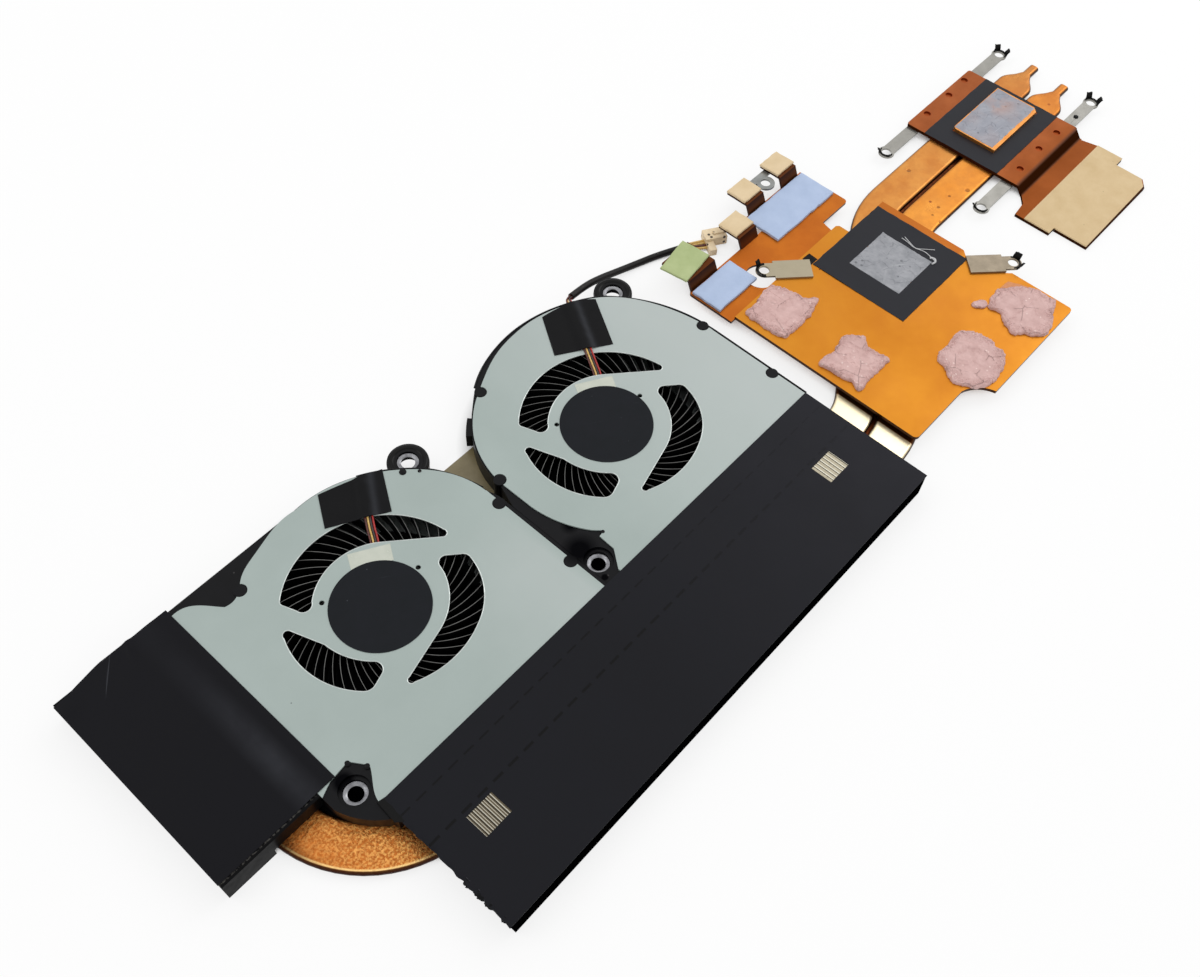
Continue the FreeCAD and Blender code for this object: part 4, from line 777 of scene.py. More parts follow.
EDGE_BEAD, BEAD_HEIGHT = 0.14, FAN_TOP - 0.1
SLOTS = (LONG_SLOT, LEFT_SLOT, LOWER_SLOT)
for fan, hub in HUBS.items():
    rims = [bead_parts(traced(slot) + hub, BEAD_HEIGHT, EDGE_BEAD) for slot in SLOTS]
    new_piece(f"fan_{fan}_slot_edges", *joined(rims), sheared_edge, "cover_metal")

# %% [markdown]
# Black moulded plastic is not quite black: its face is a dull skin with a soft shine, finely
# pebbled by the mould. The label on the hub is a smooth black film, and the tape is a matte one.

# %% Black finishes
# Spots of painted shade in the housing's hollows: x, y, inner and outer distance.
HOLLOW_SHADE_SPOTS = [(-3.6, 47.6, 1.6, 2.9), (73.4, 49.6, 2.0, 5.2), (71.9, 40.2, 0.7, 1.0), (76.6, 56.0, 0.6, 2.6)]


def recess_painted_shade(board):
    """Painted shade: the hollows beside the ears' pockets are painted nearly black, soft spots by
    distance in the plane.
    """
    for x, y, inner, outer in HOLLOW_SHADE_SPOTS:
        hollow = board.near((x, y), inner, outer)
        board.paint(board.product(hollow, 0.92), (1, 1, 3))
        board.dull(hollow, 0.02)


housing_plastic = finish("moulded black plastic", (8, 8, 10), (14, 14, 17), patch=4.0, roughness=0.36,
                         specular=0.12, grain=0.35, depth=0.02, dust=((60, 58, 58), 2.6, 0.08, 0.07),
                         more=recess_painted_shade)
label_film = finish("label film", (19, 22, 26), (24, 26, 31), patch=5.0, roughness=0.42, specular=0.1,
                    grain=0.5, depth=0.006, dust=((64, 66, 72), 2.2, 0.16, 0.05),
                    marks=((42, 44, 50), 0.4, 35.0, 0.25))
black_clip_and_shade = finish("blackened steel and painted shade", (2, 2, 2), (9, 9, 9), patch=1.5, roughness=0.34, specular=0.12,
                    grain=0.3, depth=0.01)
boot_black = finish("glossy rubber", (2, 2, 3), (5, 5, 6), patch=2.0, roughness=0.2, swing=0.04,
                    specular=0.14, grain=0.5, depth=0.008)
print("black finishes ready")

# %% [markdown]
# Each cover lies in the housing's rim, and a hair of the black rim shows beside the metal's outer
# edge. It is a slim tube along the scroll, which is a list of angles and radii about the hub.

# %% Black rims
RIM_RADIUS, RIM_HEIGHT = 0.3, 6.75
SCROLLS = {
    1: [(9, 40.2), (29, 39.8), (40, 38.8), (58, 37.4)],
    2: [(2, 44.3), (24, 44.8), (45, 45.1), (60, 43.4), (80, 41.3), (92, 39.9), (105, 38.5), (114, 37.4)],
}
RIM_ENDS = {1: [], 2: [(149.65, 38.5), (149.65, 50.0), (149.65, 62.0), (149.65, 69.0)]}
for fan, table in SCROLLS.items():
    angles = np.arange(table[0][0], table[-1][0] + 0.1, 3.0)
    radii = np.interp(angles, *np.array(table, float).T)
    x, y = np.array(HUBS[fan])[:, None] + radii * [np.cos(np.radians(angles)), np.sin(np.radians(angles))]
    places = raised(np.array(RIM_ENDS[fan] + list(zip(x, y))), RIM_HEIGHT)
    route(f"fan_{fan}_black_rim", places, RIM_RADIUS, housing_plastic, sides=2)
    print("rim of fan", fan, "has", len(places), "places")

# %% [markdown]
# The impeller's blades are thin sheet metal, dark with a thin bright top edge. Blade and edge are
# one finish: the object's height says where the edge is, and the colour turns light there.

# %% Blades and motor
BLADE_TOP = 5.9


def bright_edges(board):
    """The sheared top edge is painted light grey, here more and there less."""
    edge = board.over(Z, BLADE_TOP - 0.02, BLADE_TOP - 0.005)
    edge_share = board.spread(board.effect(patches, Size=7.0, Softness=0.2), 0.0, 1.0, 0.35, 0.78)
    board.paint(board.product(edge, edge_share), (150, 150, 147))


blade_metal = finish("thin blade metal", (5, 5, 6), (9, 9, 10), patch=9.0, softness=0.12, roughness=0.4,
                     specular=0.12, grain=0.4, depth=0.006, more=bright_edges)
rotor_plastic = finish("rotor hub plastic", (18, 18, 19), (26, 26, 28), patch=3.0, roughness=0.4, grain=0.4,
                       depth=0.01)
motor_parts = finish("motor board and windings", (96, 60, 36), (60, 66, 48), patch=1.4, roughness=0.4,
                     grain=0.3, depth=0.02)
magnet_grey = finish("magnet", (70, 70, 72), (52, 52, 55), patch=2.0, roughness=0.5, metallic=0.5,
                     grain=0.3, depth=0.01)
shaft_steel = finish("polished steel", (196, 196, 198), (170, 171, 174), patch=3.0, roughness=0.22,
                     metallic=0.9, grain=0.3, depth=0.003, marks=((140, 140, 144), 0.2, 0.0, 0.3))
print("rotor finishes ready")

# %% [markdown]
# The four metal bushes in the ears are turned parts: a thin tube with a flange turned inwards at its
# top, through which the screw goes. A turned part is a profile swung round its axis. The bushes are
# alike, but the two beside the fins are pressed deeper into their pockets. The two ears at the back
# wear a glossy rubber boot, whose rim is rounded, and small moulded studs stand beside the ears.

# %% Bushes, boots and studs
BUSH_PLACES = [(63.1, 99.2, 0.0), (-3.3, 44.4, -0.35), (141.3, 99.6, 0.0), (74.3, 44.4, -0.35)]
BUSH_PROFILE = [(1.8, 5.12), (2.62, 4.95), (2.62, 2.95), (2.88, 2.95), (2.88, 5.4), (2.74, 5.55),
                (2.05, 5.5), (1.8, 5.32)]
BOOT_PROFILE = [(2.92, 5.0), (3.0, 5.5), (3.35, 5.95), (3.9, 6.25), (4.5, 6.32), (5.05, 6.15), (5.4, 5.65),
                (5.45, 5.0), (5.4, 4.2), (5.32, 4.1), (5.25, 5.0)]
STUDS = [(59.5, 97.0, 0.95, 7.5), (62.6, 94.2, 0.5, 7.45), (-0.3, 50.1, 0.75, 7.3), (2.2, 46.5, 0.75, 7.3),
         (80.8, 48.9, 0.6, 7.3)]
STUD_FOOT = 6.6


def turned_parts(centre, profile, sides=64):
    """Each place of a closed profile swings round the axis: radius times cosine and sine of the turn."""
    turn = 2 * np.pi * np.arange(sides) / sides
    radius, height = np.array(profile, float).T
    x = centre[0] + radius[None, :] * np.cos(turn)[:, None]
    y = centre[1] + radius[None, :] * np.sin(turn)[:, None]
    points = stacked(x, y, np.broadcast_to(height, x.shape))
    return points.reshape(-1, 3), quads_of(closed_rings(sides, len(profile)))


def bore_painted_shade(board):
    """Painted shade: below its flange the tube's bore is painted black, as it lies in shadow."""
    deep = board.over(Z, 4.5, 4.75, 1.0, 0.0)
    board.dull(deep, 0.02)
    board.paint(deep, (5, 5, 6))


bush_metal = finish("plated bush", (156, 157, 160), (104, 104, 108), patch=1.6, roughness=0.28, metallic=0.85,
                    grain=0.3, depth=0.006, marks=((96, 96, 100), 0.15, 20.0, 0.3), more=bore_painted_shade)
bush_parts = [turned_parts((x, y), np.add(BUSH_PROFILE, (0.0, lift))) for x, y, lift in BUSH_PLACES]
new_piece("ear_bushes_turned", *joined(bush_parts), bush_metal, "bush_metal", replaces=["ear_bushes"])
boot_parts = [turned_parts((x, y), BOOT_PROFILE) for x, y, _ in BUSH_PLACES[::2]]
new_piece("ear_boots", *joined(boot_parts), boot_black, "housing_plastic")
stud_parts = []
for x, y, radius, top in STUDS:
    dome = [(0.0, STUD_FOOT), (radius, STUD_FOOT), (radius, top - 0.25), (0.8 * radius, top - 0.08),
            (0.4 * radius, top), (0.0, top)]
    stud_parts.append(turned_parts((x, y), dome, sides=24))
new_piece("moulded_studs", *joined(stud_parts), housing_plastic, "housing_plastic")

# %% [markdown]
# Four fine wires leave the motor's board through the long slot, climb over the cover's edge and
# run under a square of tape to the rim. On the second fan they then enter the sleeve.

# %% Fan wires
WIRE_STEPS = [((5.95, 7.78), 5.85), ((6.8, 8.9), 5.85), ((8.1, 10.6), 6.45), ((10.9, 13.9), 6.45),
              ((13.3, 18.6), 7.48)]
WIRE_RIMS = {1: (20.4, 28.6), 2: (24.0, 36.6)}
WIRE_PITCH, WIRE_RADIUS, BUNDLE_SPREAD = 0.6, 0.25, 0.28


def wire_places(fan, index):
    """The bundle's places, moved across it by the wire's place in the row."""
    rim, last = np.array(WIRE_RIMS[fan]), np.array(WIRE_STEPS[-1][0])
    along = unit(rim - last)
    across = np.array((-along[1], along[0])) * (index - 1.5) * WIRE_PITCH
    steps = WIRE_STEPS + [(tuple(rim), 7.48)]
    places = [(*(np.array(spot) + HUBS[fan] + across), z) for spot, z in steps]
    if fan == 2:
        start, towards = np.array(LEAD_ROUTE[0]), unit(np.subtract(LEAD_ROUTE[1], LEAD_ROUTE[0]))
        sideways = unit((-towards[1], towards[0], 0.0))
        above = np.cross(towards, sideways)
        above = above if above[2] > 0 else -above
        aside = sideways * BUNDLE_SPREAD * (1 if index > 1 else -1)
        end = start + aside + above * BUNDLE_SPREAD * (1 if index % 2 else -1)
        places += [tuple(end - towards * 1.4), tuple(end)]
    return places


for fan in HUBS:
    for k in range(4):
        route(f"fan_{fan}_wire_{k + 1}", wire_places(fan, k), WIRE_RADIUS, wire_finishes[3 - k],
                           sides=3)
    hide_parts(f"fan_{fan}_wires")

# %% [markdown]
# ## Tape and film
# Insulating tape is a matte black film. It carries painted sheen, faint brighter areas where the
# light falls, and a few grains of dust. The long tape also has two perforated lines.

# %% Tape finishes
PERFORATIONS = [(24.0, 0.42, 1.0), (33.0, 0.3, 0.85)]
DASH_PITCH, DASH_DEPTH = 4.7, 0.08
RIDGE_X, RIDGE_WIDTH, RIDGE_HEIGHT = -10.8, 2.6, 0.24


def perforated(board):
    """Two rows of dashes along X, and a painted sheen that grows to the right, where the light falls."""
    for line, width, strength in PERFORATIONS:
        dash = board.effect(dashes, Line=line - LAYOUT_ORIGIN[Y], Pitch=DASH_PITCH, Width=width)
        dash = board.product(dash, strength)
        board.paint(dash, (3, 3, 4))
        board.sink(dash, DASH_DEPTH)
    right_sheen = board.spread(board.effect(patches, Size=24.0, Softness=0.3), 0.0, 1.0, 0.35, 1.0)
    board.paint(board.product(board.over(X, 60, 149), right_sheen), (33, 33, 39))


def ridge_painted_highlight(board):
    """Painted highlight: a soft lighter band along the ridge, where it catches the light. It fades
    with the distance in X, and in patches.
    """
    away = board.math("ABSOLUTE", board.math("SUBTRACT", board.split(board.where)[X], at(X, RIDGE_X)))
    band = board.product(board.spread(away, 0.0008, 0.0042, 1.0, 0.0),
                         board.effect(patches, Size=14.0, Softness=0.4), board.over(Y, 66, 98, 1.0, 0.2))
    board.paint(band, (44, 45, 50))


def lit_flank(board):
    """The tunnel's flank towards the light is greyer: by how far the face's normal leans right."""
    soft = board.spread(board.effect(patches, Size=9.0, Softness=0.35), 0.0, 1.0, 0.45, 1.0)
    board.paint(board.product(board.spread(board.normal()[X], 0.01, 0.45), soft), (56, 58, 64))


tape_black = finish("long black tape", (14, 14, 19), (19, 20, 26), patch=30.0, softness=0.3, roughness=0.52,
                    swing=0.06, specular=0.13, grain=0.5, depth=0.006,
                    dust=((120, 122, 126), 6.0, 0.03, 0.025), marks=((30, 31, 35), 0.7, 30.0, 0.12),
                    more=perforated)
left_black = finish("left black tape", (10, 10, 15), (14, 14, 19), patch=18.0, softness=0.3, roughness=0.5,
                    swing=0.07, specular=0.1, grain=0.5, depth=0.008,
                    dust=((110, 112, 116), 7.0, 0.04, 0.025), marks=((48, 49, 54), 0.9, -50.0, 0.16),
                    more=ridge_painted_highlight)
patch_black = finish("tape square", (6, 6, 8), (12, 12, 14), patch=6.0, roughness=0.42, specular=0.1,
                     grain=0.4, depth=0.01, marks=((22, 22, 25), 0.7, 60.0, 0.3), more=lit_flank)
film_black = finish("black insulating film", (33, 33, 38), (39, 40, 45), patch=9.0, softness=0.3,
                    roughness=0.55, specular=0.15, grain=0.35, depth=0.006,
                    dust=((150, 152, 156), 2.8, 0.05, 0.03))
print("tape finishes ready")

# %% [markdown]
# The long tape covers the fins and laps a little over the fan covers. It lies flat but for slight
# waves, it has a square window over the fins at each end, and its left end is torn and creased.

# %% Long tape
TAPE_X, TAPE_Y, TAPE_THICK = (-1.5, 149.2), (0.0, 38.5), 0.13
WINDOW_HALF = (3.75, 3.1)
WINDOWS_X, WINDOW_Y = (12.45, 134.5), 19.7


def lines_with(low, high, step, fixed):
    """Evenly spread grid lines from low to high, with the nearest ones moved onto the fixed values."""
    lines = np.linspace(low, high, int(round((high - low) / step)) + 1)
    for value in fixed:
        lines[np.argmin(np.abs(lines - value))] = value
    return lines


window_sides = [x + side * WINDOW_HALF[0] for x in WINDOWS_X for side in (-1, 1)]
xs = lines_with(*TAPE_X, 0.75, window_sides + [0.0])
ys = lines_with(*TAPE_Y, 0.55, [WINDOW_Y - WINDOW_HALF[1], WINDOW_Y + WINDOW_HALF[1], 32.5])
gx, gy = np.meshgrid(xs, ys, indexing="ij")
cell_x, cell_y = (xs[:-1] + xs[1:]) / 2, (ys[:-1] + ys[1:]) / 2
inside_x = np.any([np.abs(cell_x - x) < WINDOW_HALF[0] for x in WINDOWS_X], 0)
keep = ~(inside_x[:, None] & (np.abs(cell_y - WINDOW_Y) < WINDOW_HALF[1])[None, :])
torn = np.clip(-gx / 1.5, 0, 1) * (0.5 + 0.5 * lattice_noise(gx * 0 + 1, gy, 1.7, 3))
wave = 0.015 * rough_noise(gx, gy, 14.0, 11) + 0.012
tape_top = stacked(gx + 0.9 * torn, gy, TAPE_TOP + np.abs(wave) - 0.9 * torn ** 2)
sheet("long_tape", tape_top, TAPE_THICK, tape_black, "black_tape", ["main_tape"], keep)

# %% [markdown]
# Past the tape's left end the stack's last flange shows crumpled scraps of the same tape, folded
# down over the fins. Each scrap is a small sheet rolled over the edge, with its own waves.

# %% Scraps at the long tape's end
SCRAPS = [(6.3, 2.6, 11), (9.4, 3.4, 12), (12.6, 2.2, 13), (2.2, 1.6, 14)]
scrap_parts = []
for y, width, seed in SCRAPS:
    u, v = np.meshgrid(np.linspace(0, 1, 16), np.linspace(-1, 1, 18), indexing="ij")
    roll = u * 2.4
    bulge = 0.32 * rough_noise(u * 5, v * width, 1.3, seed)
    x = -0.2 - np.sin(roll) * (1.15 + bulge) * (1 - 0.35 * v ** 2)
    z = 6.55 + np.cos(roll) * (0.75 + 0.4 * bulge)
    outer = stacked(x, y + v * width / 2 + 0.3 * bulge, z)
    scrap_parts.append(sheet_parts(outer, outer + (0.22, 0, -0.12)))
new_piece("tape_scraps", *joined(scrap_parts), patch_black, "black_tape")

# %% [markdown]
# The wide tape on the left bridges the left fins and the first fan. It is stretched over the
# joint between them, so a soft ridge runs along it there, and its outer corner is creased.

# %% Left tape
LEFT_TAPE_X, LEFT_TAPE_Y, LEFT_TAPE_THICK = (-35.45, -4.1), (49.7, 108.4), 0.14
CORNER_DROP, CORNER_X = 1.9, -22.15
CREASE_PLACE, CREASE_SIZE, CREASE_SLANT = (-15.0, 107.6), (0.8, 3.2), 0.3
LIFTED_PLACE, LIFTED_REACH = (-34.0, 104.5), 2.5
xs = np.linspace(*LEFT_TAPE_X, 72)
share = np.linspace(0, 1, 96)
gx, gs = np.meshgrid(xs, share, indexing="ij")
top_line = LEFT_TAPE_Y[1] - CORNER_DROP * np.clip((CORNER_X - gx) / (CORNER_X - LEFT_TAPE_X[0]), 0, 1)
uneven_cut = 0.12 * lattice_noise(gx, gs * 0, 4.0, 31) * (gs > 0.99)
gy = LEFT_TAPE_Y[0] + gs * (top_line - LEFT_TAPE_Y[0]) + uneven_cut
uneven_ridge = 0.75 + 0.25 * lattice_noise(gx * 0, gy, 9.0, 32)
ridge = RIDGE_HEIGHT * np.exp(-((gx - RIDGE_X) / RIDGE_WIDTH) ** 2) * uneven_ridge
aside = (gx - CREASE_PLACE[X] + (LEFT_TAPE_Y[1] - gy) * CREASE_SLANT) / CREASE_SIZE[X]
crease = 0.35 * np.exp(-aside ** 2 - ((gy - CREASE_PLACE[Y]) / CREASE_SIZE[Y]) ** 2)
aside, along = (gx - LIFTED_PLACE[X]) / LIFTED_REACH, (gy - LIFTED_PLACE[Y]) / LIFTED_REACH
corner_lift = 0.3 * np.exp(-aside ** 2 - along ** 2)
wave = 0.02 + np.abs(0.03 * rough_noise(gx, gy, 9.0, 33))
left_top = stacked(gx, gy, TAPE_TOP + ridge + crease + corner_lift + wave)
sheet("left_tape_sheet", left_top, LEFT_TAPE_THICK, left_black, "black_tape", ["left_tape"])

# %% [markdown]
# A square of tape holds each fan's wires down. It clings to the cover and rises in a low tunnel
# over the bundle, so its height is a plateau that falls off smoothly on both sides of the wires.

# %% Tape squares over the wires
SQUARES = {1: [(5.0, 25.3), (10.2, 33.9), (18.5, 31.2), (26.2, 28.1), (19.4, 17.2)],
           2: [(7.4, 26.5), (14.9, 38.2), (24.0, 36.0), (29.8, 32.0), (21.2, 17.8)]}
TUNNEL_HALF, TUNNEL_RISE, HIGHEST = 1.9, 0.56, 7.98
for fan, corners in SQUARES.items():
    near_a, far_a, far_middle, far_b, near_b = np.array(corners)
    u, v = shares(48, 40)
    bow = far_middle - (far_a + far_b) / 2
    flat = between_corners(near_a, far_a, far_b, near_b, u, v) + bow * (4 * u * (1 - u) * v)[..., None]
    rim, last = np.array(WIRE_RIMS[fan]), np.array(WIRE_STEPS[-1][0])
    along = unit(rim - last)
    away = (flat - last) @ np.array((-along[1], along[0]))
    tunnel = TUNNEL_RISE * 0.5 * (1 - np.tanh((np.abs(away) - TUNNEL_HALF) / 0.8))
    wrinkle = 0.05 * rough_noise(flat[..., 0], flat[..., 1], 4.0, 40 + fan) * (0.4 + tunnel)
    lift = TAPE_TOP + 0.02 + tunnel + np.abs(wrinkle)
    top = raised(flat + HUBS[fan], np.minimum(lift, HIGHEST))
    sheet(f"fan_{fan}_tape_square", top, TAPE_THICK, patch_black, "black_tape", [f"fan_{fan}_tape_patch"])

# %% [markdown]
# A small clear sticker lies on the cover beside each hub, half under the label. It is so thin that
# only its paler, shinier face and its edge show.

# %% Clear stickers
clear_film = finish("clear sticker", (192, 195, 182), (182, 187, 174), patch=4.0, roughness=0.22,
                    specular=0.6, metallic=0.15, grain=0.6, depth=0.004,
                    marks=((150, 158, 155), 0.35, 70.0, 0.3))
STICKER = np.array([(32.0, 85.2), (34.2, 89.2), (43.3, 84.0), (40.8, 80.0)])
STICKER_THICK = 0.08
for fan, move in ((1, (0.0, 0.0)), (2, (75.0, -4.6))):
    flat = between_corners(*(STICKER + move), *shares(20, 10))
    lift = FAN_TOP + 0.05 + 0.02 * np.abs(lattice_noise(flat[..., 0], flat[..., 1], 2.0, 50 + fan))
    sheet(f"fan_{fan}_sticker", raised(flat, lift), STICKER_THICK, clear_film, "cover_metal")

# %% [markdown]
# ## Copper
# Copper that has been soldered and handled is a warm orange with browner stains. The pipes were
# drawn and pressed flat, which leaves fine lines along them and a pebbled skin. Each plate has its
# own tone, from the bright graphics plate to the browner wing.

# %% Copper finishes
def copper(name, colour, other, patch, roughness, grain, depth, stain=None, stain_cover=0.25,
           lines=None, after=None, **rest):
    """Copper in two tones, with brushed lines at an angle and round stains in a darker tone."""

    def worked(board):
        if lines is not None:
            drawn = board.effect(scratches, "Lines", Size=0.35, Angle=math.radians(lines), Cover=0.5)
            light = board.spread(drawn, 0.35, 0.65, 0.86, 1.1)
            tint = board.node("ShaderNodeCombineColor", {0: light, 1: light, 2: light}).outputs[0]
            board.shade = board.node("ShaderNodeMix", {0: 1.0, 6: board.shade, 7: tint}, data_type="RGBA",
                                     blend_type="MULTIPLY").outputs[2]
            board.sink(drawn, -0.02)
        if stain:
            clean = board.effect(patches, Size=patch * 0.45, Softness=0.09)
            board.paint(board.product(board.rest(clean), stain_cover), stain)
        if after:
            after(board)

    return finish(name, colour, other, patch=patch, roughness=roughness, metallic=0.9, grain=grain,
                  depth=depth, more=worked, **rest)


def brown_border(board):
    """The strip between the film and the plate's right edge is browner, and so is a spot in front."""
    board.paint(board.product(board.near((203.0, 33.0), 3.0, 14.0), 0.4), (172, 100, 30))
    board.paint(board.product(board.over(X, 222.6, 223.0), board.over(Y, 36, 38), 0.85), (164, 88, 28))


def tab_painted_shade(board):
    """Painted shade: the raised tabs are painted dark brown towards their tops, by height."""
    board.paint(board.over(Z, 4.6, 6.4, 0.0, 0.85), (54, 25, 9))


DIMPLES = [(269.5, 79.1), (282.1, 79.1), (291.9, 79.5), (268.3, 43.9), (280.4, 44.4), (290.9, 44.2)]
WING_EDGE = 12.5


def wing_tone_and_shade(board):
    """The strip towards the wing and the wing are darker and less shiny, by a soft step in Y.
    Painted shade lies on the slope between them, the wing's front rim and all upright faces, but
    not on the pressed dimples, whose rims are painted brown."""
    low = board.over(Y, 38, 52, 0.75, 0.0)
    board.paint(low, (120, 58, 6))
    slope = board.product(board.over(Y, 37.7, 38.5), board.over(Y, 40.0, 41.4, 1.0, 0.0))
    side = board.spread(board.math("ABSOLUTE", board.normal()[Z]), 0.4, 0.92, 1.0, 0.0)
    rim = board.over(Y, WING_EDGE, WING_EDGE + 0.7, 0.9, 0.0)
    pressed = 0.0
    for dimple in DIMPLES:
        pressed = board.math("ADD", pressed, board.near(dimple, 1.25, 1.45), clamp=True)
    wing_shade = board.product(board.most(slope, side, rim), board.rest(pressed))
    board.dull(wing_shade)
    board.shine = board.product(board.spread(low, 0.0, 1.0, 0.5, 0.2), board.rest(wing_shade))
    board.paint(board.product(pressed, 0.5), (150, 62, 20))
    board.paint(board.product(wing_shade, 0.92), (30, 12, 5))


plate_copper = copper("graphics plate copper", (196, 131, 38), (184, 114, 28), 34.0, 0.4, 0.5, 0.004,
                      stain=(176, 100, 40), stain_cover=0.16, dust=((120, 62, 26), 4.5, 0.05, 0.05),
                      after=brown_border, walls=((58, 30, 10), 0.35, 0.85))
side_copper = copper("side plate copper", (188, 106, 30), (172, 90, 22), 18.0, 0.4, 0.5, 0.005,
                     stain=(140, 66, 18), stain_cover=0.2, after=tab_painted_shade, walls=((50, 22, 8), 0.3, 0.9))
strip_copper = copper("processor plate copper", (158, 86, 42), (140, 72, 30), 12.0, 0.42, 0.5, 0.005,
                      stain=(120, 60, 26), stain_cover=0.2, after=wing_tone_and_shade)


BEND_CENTRE, BEND_RADII = (10.6, 53.3), (21.3, 32.7)
DENTS = [(244.5, 69.0, 0.8), (249.8, 51.0, 0.9), (243.8, 53.6, 0.5), (237.4, 53.4, 0.6), (236.6, 49.0, 0.5),
         (232.6, 49.6, 0.5), (233.4, 52.8, 0.4)]


def pipe_skin(board):
    """Hammered glitter in the bend, with a painted highlight on its outer rim and painted shade
    outside and inside it and near both ends; a pale painted reflection on the length before the
    plate, with a painted shadow under the plate's edge; painted shade on the tips; small dents
    painted darker, as painted shade in them.
    """
    bend = board.over(X, 6, 16, 1.0, 0.0)
    broad = board.effect(patches, Size=2.4, Softness=0.25)
    lively = board.product(board.spread(broad, 0.0, 1.0, 0.4, 1.0), board.over(X, -19, -6, 0.35, 1.0))
    board.paint(board.product(bend, 0.85), (182, 100, 38))
    pits = board.product(board.effect(patches, Size=0.85, Softness=0.1), bend, 0.6)
    board.paint(pits, (142, 74, 24))
    glitter = board.product(board.effect(patches, Size=0.62, Softness=0.08), bend, lively)
    board.paint(board.product(glitter, 0.8), (250, 190, 108))
    board.sink(board.math("SUBTRACT", pits, glitter), 0.06)
    inner, outer = BEND_RADII
    # Painted highlight on the outer rim of the bend.
    rim_in = board.near(BEND_CENTRE, outer - 1.2, outer - 0.9)
    rim_out = board.near(BEND_CENTRE, outer - 0.75, outer - 0.55)
    rim = board.product(board.math("SUBTRACT", rim_out, rim_in), bend)
    board.paint(board.product(rim, board.spread(broad, 0.0, 1.0, 0.5, 1.0)), (252, 216, 146))
    # Painted shade outside the rim, inside the bend and near both ends of the bend.
    outside = board.product(board.rest(rim_out), bend)
    inside = board.near(BEND_CENTRE, inner + 0.4, inner + 1.5)
    bend_shade = board.math("ADD", board.over(X, -21.2, -17.6, 1.0, 0.0), board.over(X, -4.5, -1.5, 0.0, 0.6))
    dark = board.most(outside, inside, board.product(bend_shade, bend))
    board.paint(board.product(dark, 0.88), (46, 22, 10))
    # Painted shade on the crimped tips.
    board.paint(board.over(X, 296.5, 299, 0.0, 0.4), (172, 98, 40))
    # Painted reflection: the pale length between the stack and the plate.
    pale_reflection = board.product(board.over(X, 147, 149), board.over(X, 158.3, 158.6, 1.0, 0.0), 0.95)
    board.paint(pale_reflection, (255, 242, 206))
    shadow = board.product(board.over(X, 158.4, 158.7), board.over(X, 161, 163, 1.0, 0.0), 0.9)
    board.paint(shadow, (34, 15, 6))
    # The dents are painted darker, as painted shade in them.
    for x, y, radius in DENTS:
        dent = board.near((x, y), radius * 0.55, radius)
        board.paint(board.product(dent, 0.6), (122, 66, 24))
        board.sink(dent, 0.12)


def heat_pipe(name, colour, other):
    return copper(name, colour, other, 9.0, 0.34, 0.45, 0.01, stain=(160, 92, 44), stain_cover=0.25,
                  dust=((150, 84, 40), 3.6, 0.06, 0.1), after=pipe_skin, walls=((50, 20, 7), 0.6, 0.95))


long_copper = heat_pipe("long heat pipe copper", (208, 146, 74), (192, 124, 56))
short_copper = heat_pipe("short heat pipe copper", (216, 144, 60), (204, 128, 46))
# Painted shade: a dark copper sheet lies low in the gap between the pipes, where only the pipes' shaded sides
# would show.
GAP_LEVEL, GAP_HALF, GAP_Y = (0.5, 0.95), 0.8, 20.15
GAP_BEND = {"start": 150.5, "radius": 27.15, "turn": 32.0, "shift": 40.6, "end": 301.0}
gap_shade_copper = copper("gap shade copper", (104, 50, 16), (74, 32, 10), 1.6, 0.5, 0.4, 0.02)


def gap_line():
    """The line between the pipes: level, an arc, a slanting run, an arc back, and level again."""
    turn = math.radians(GAP_BEND["turn"])
    radius, start = GAP_BEND["radius"], GAP_BEND["start"]
    angles = np.linspace(0, turn, 24)
    first = np.stack([start + radius * np.sin(angles), GAP_Y + radius * (1 - np.cos(angles))], -1)
    run = (GAP_BEND["shift"] - 2 * radius * (1 - math.cos(turn))) / math.sin(turn)
    meet = first[-1] + run * np.array((math.cos(turn), math.sin(turn)))
    second = meet + radius * np.stack([math.sin(turn) - np.sin(angles[::-1]),
                                       np.cos(angles[::-1]) - math.cos(turn)], -1)
    ends = np.array([[start - 20, GAP_Y]]), np.array([[GAP_BEND["end"], GAP_Y + GAP_BEND["shift"]]])
    return np.concatenate([ends[0], first, second, ends[1]])


middle_line = gap_line()
direction = np.gradient(middle_line, axis=0)
direction /= np.linalg.norm(direction, axis=1)[:, None]
normal = np.stack([-direction[:, 1], direction[:, 0]], -1)
across = np.linspace(-1, 1, 7)
flat = middle_line[:, None] + normal[:, None] * across[None, :, None] * GAP_HALF
sag = GAP_LEVEL[1] - 0.25 * (1 - across ** 2)
new_piece("pipe_gap_shade", *sheet_parts(raised(flat, sag), raised(flat, GAP_LEVEL[0])), gap_shade_copper, "copper")
block_copper = copper("cold block copper", (226, 156, 84), (206, 132, 62), 6.0, 0.34, 0.4, 0.006, lines=0.0)
print("copper finishes ready")

# %% [markdown]
# The fins are thin aluminium sheet, folded over at the top so that the flanges meet. Seen through
# the tape's windows each flange has a bright fold, a duller face and a dark groove, and the faces
# are browner in the left window. At the outlet and at both ends the fins are painted near black,
# and so are their faces between them near the outlet, as painted shade.

# %% Fin finish
FIN_PITCH, FIRST_FOLD = 1.25, 0.5


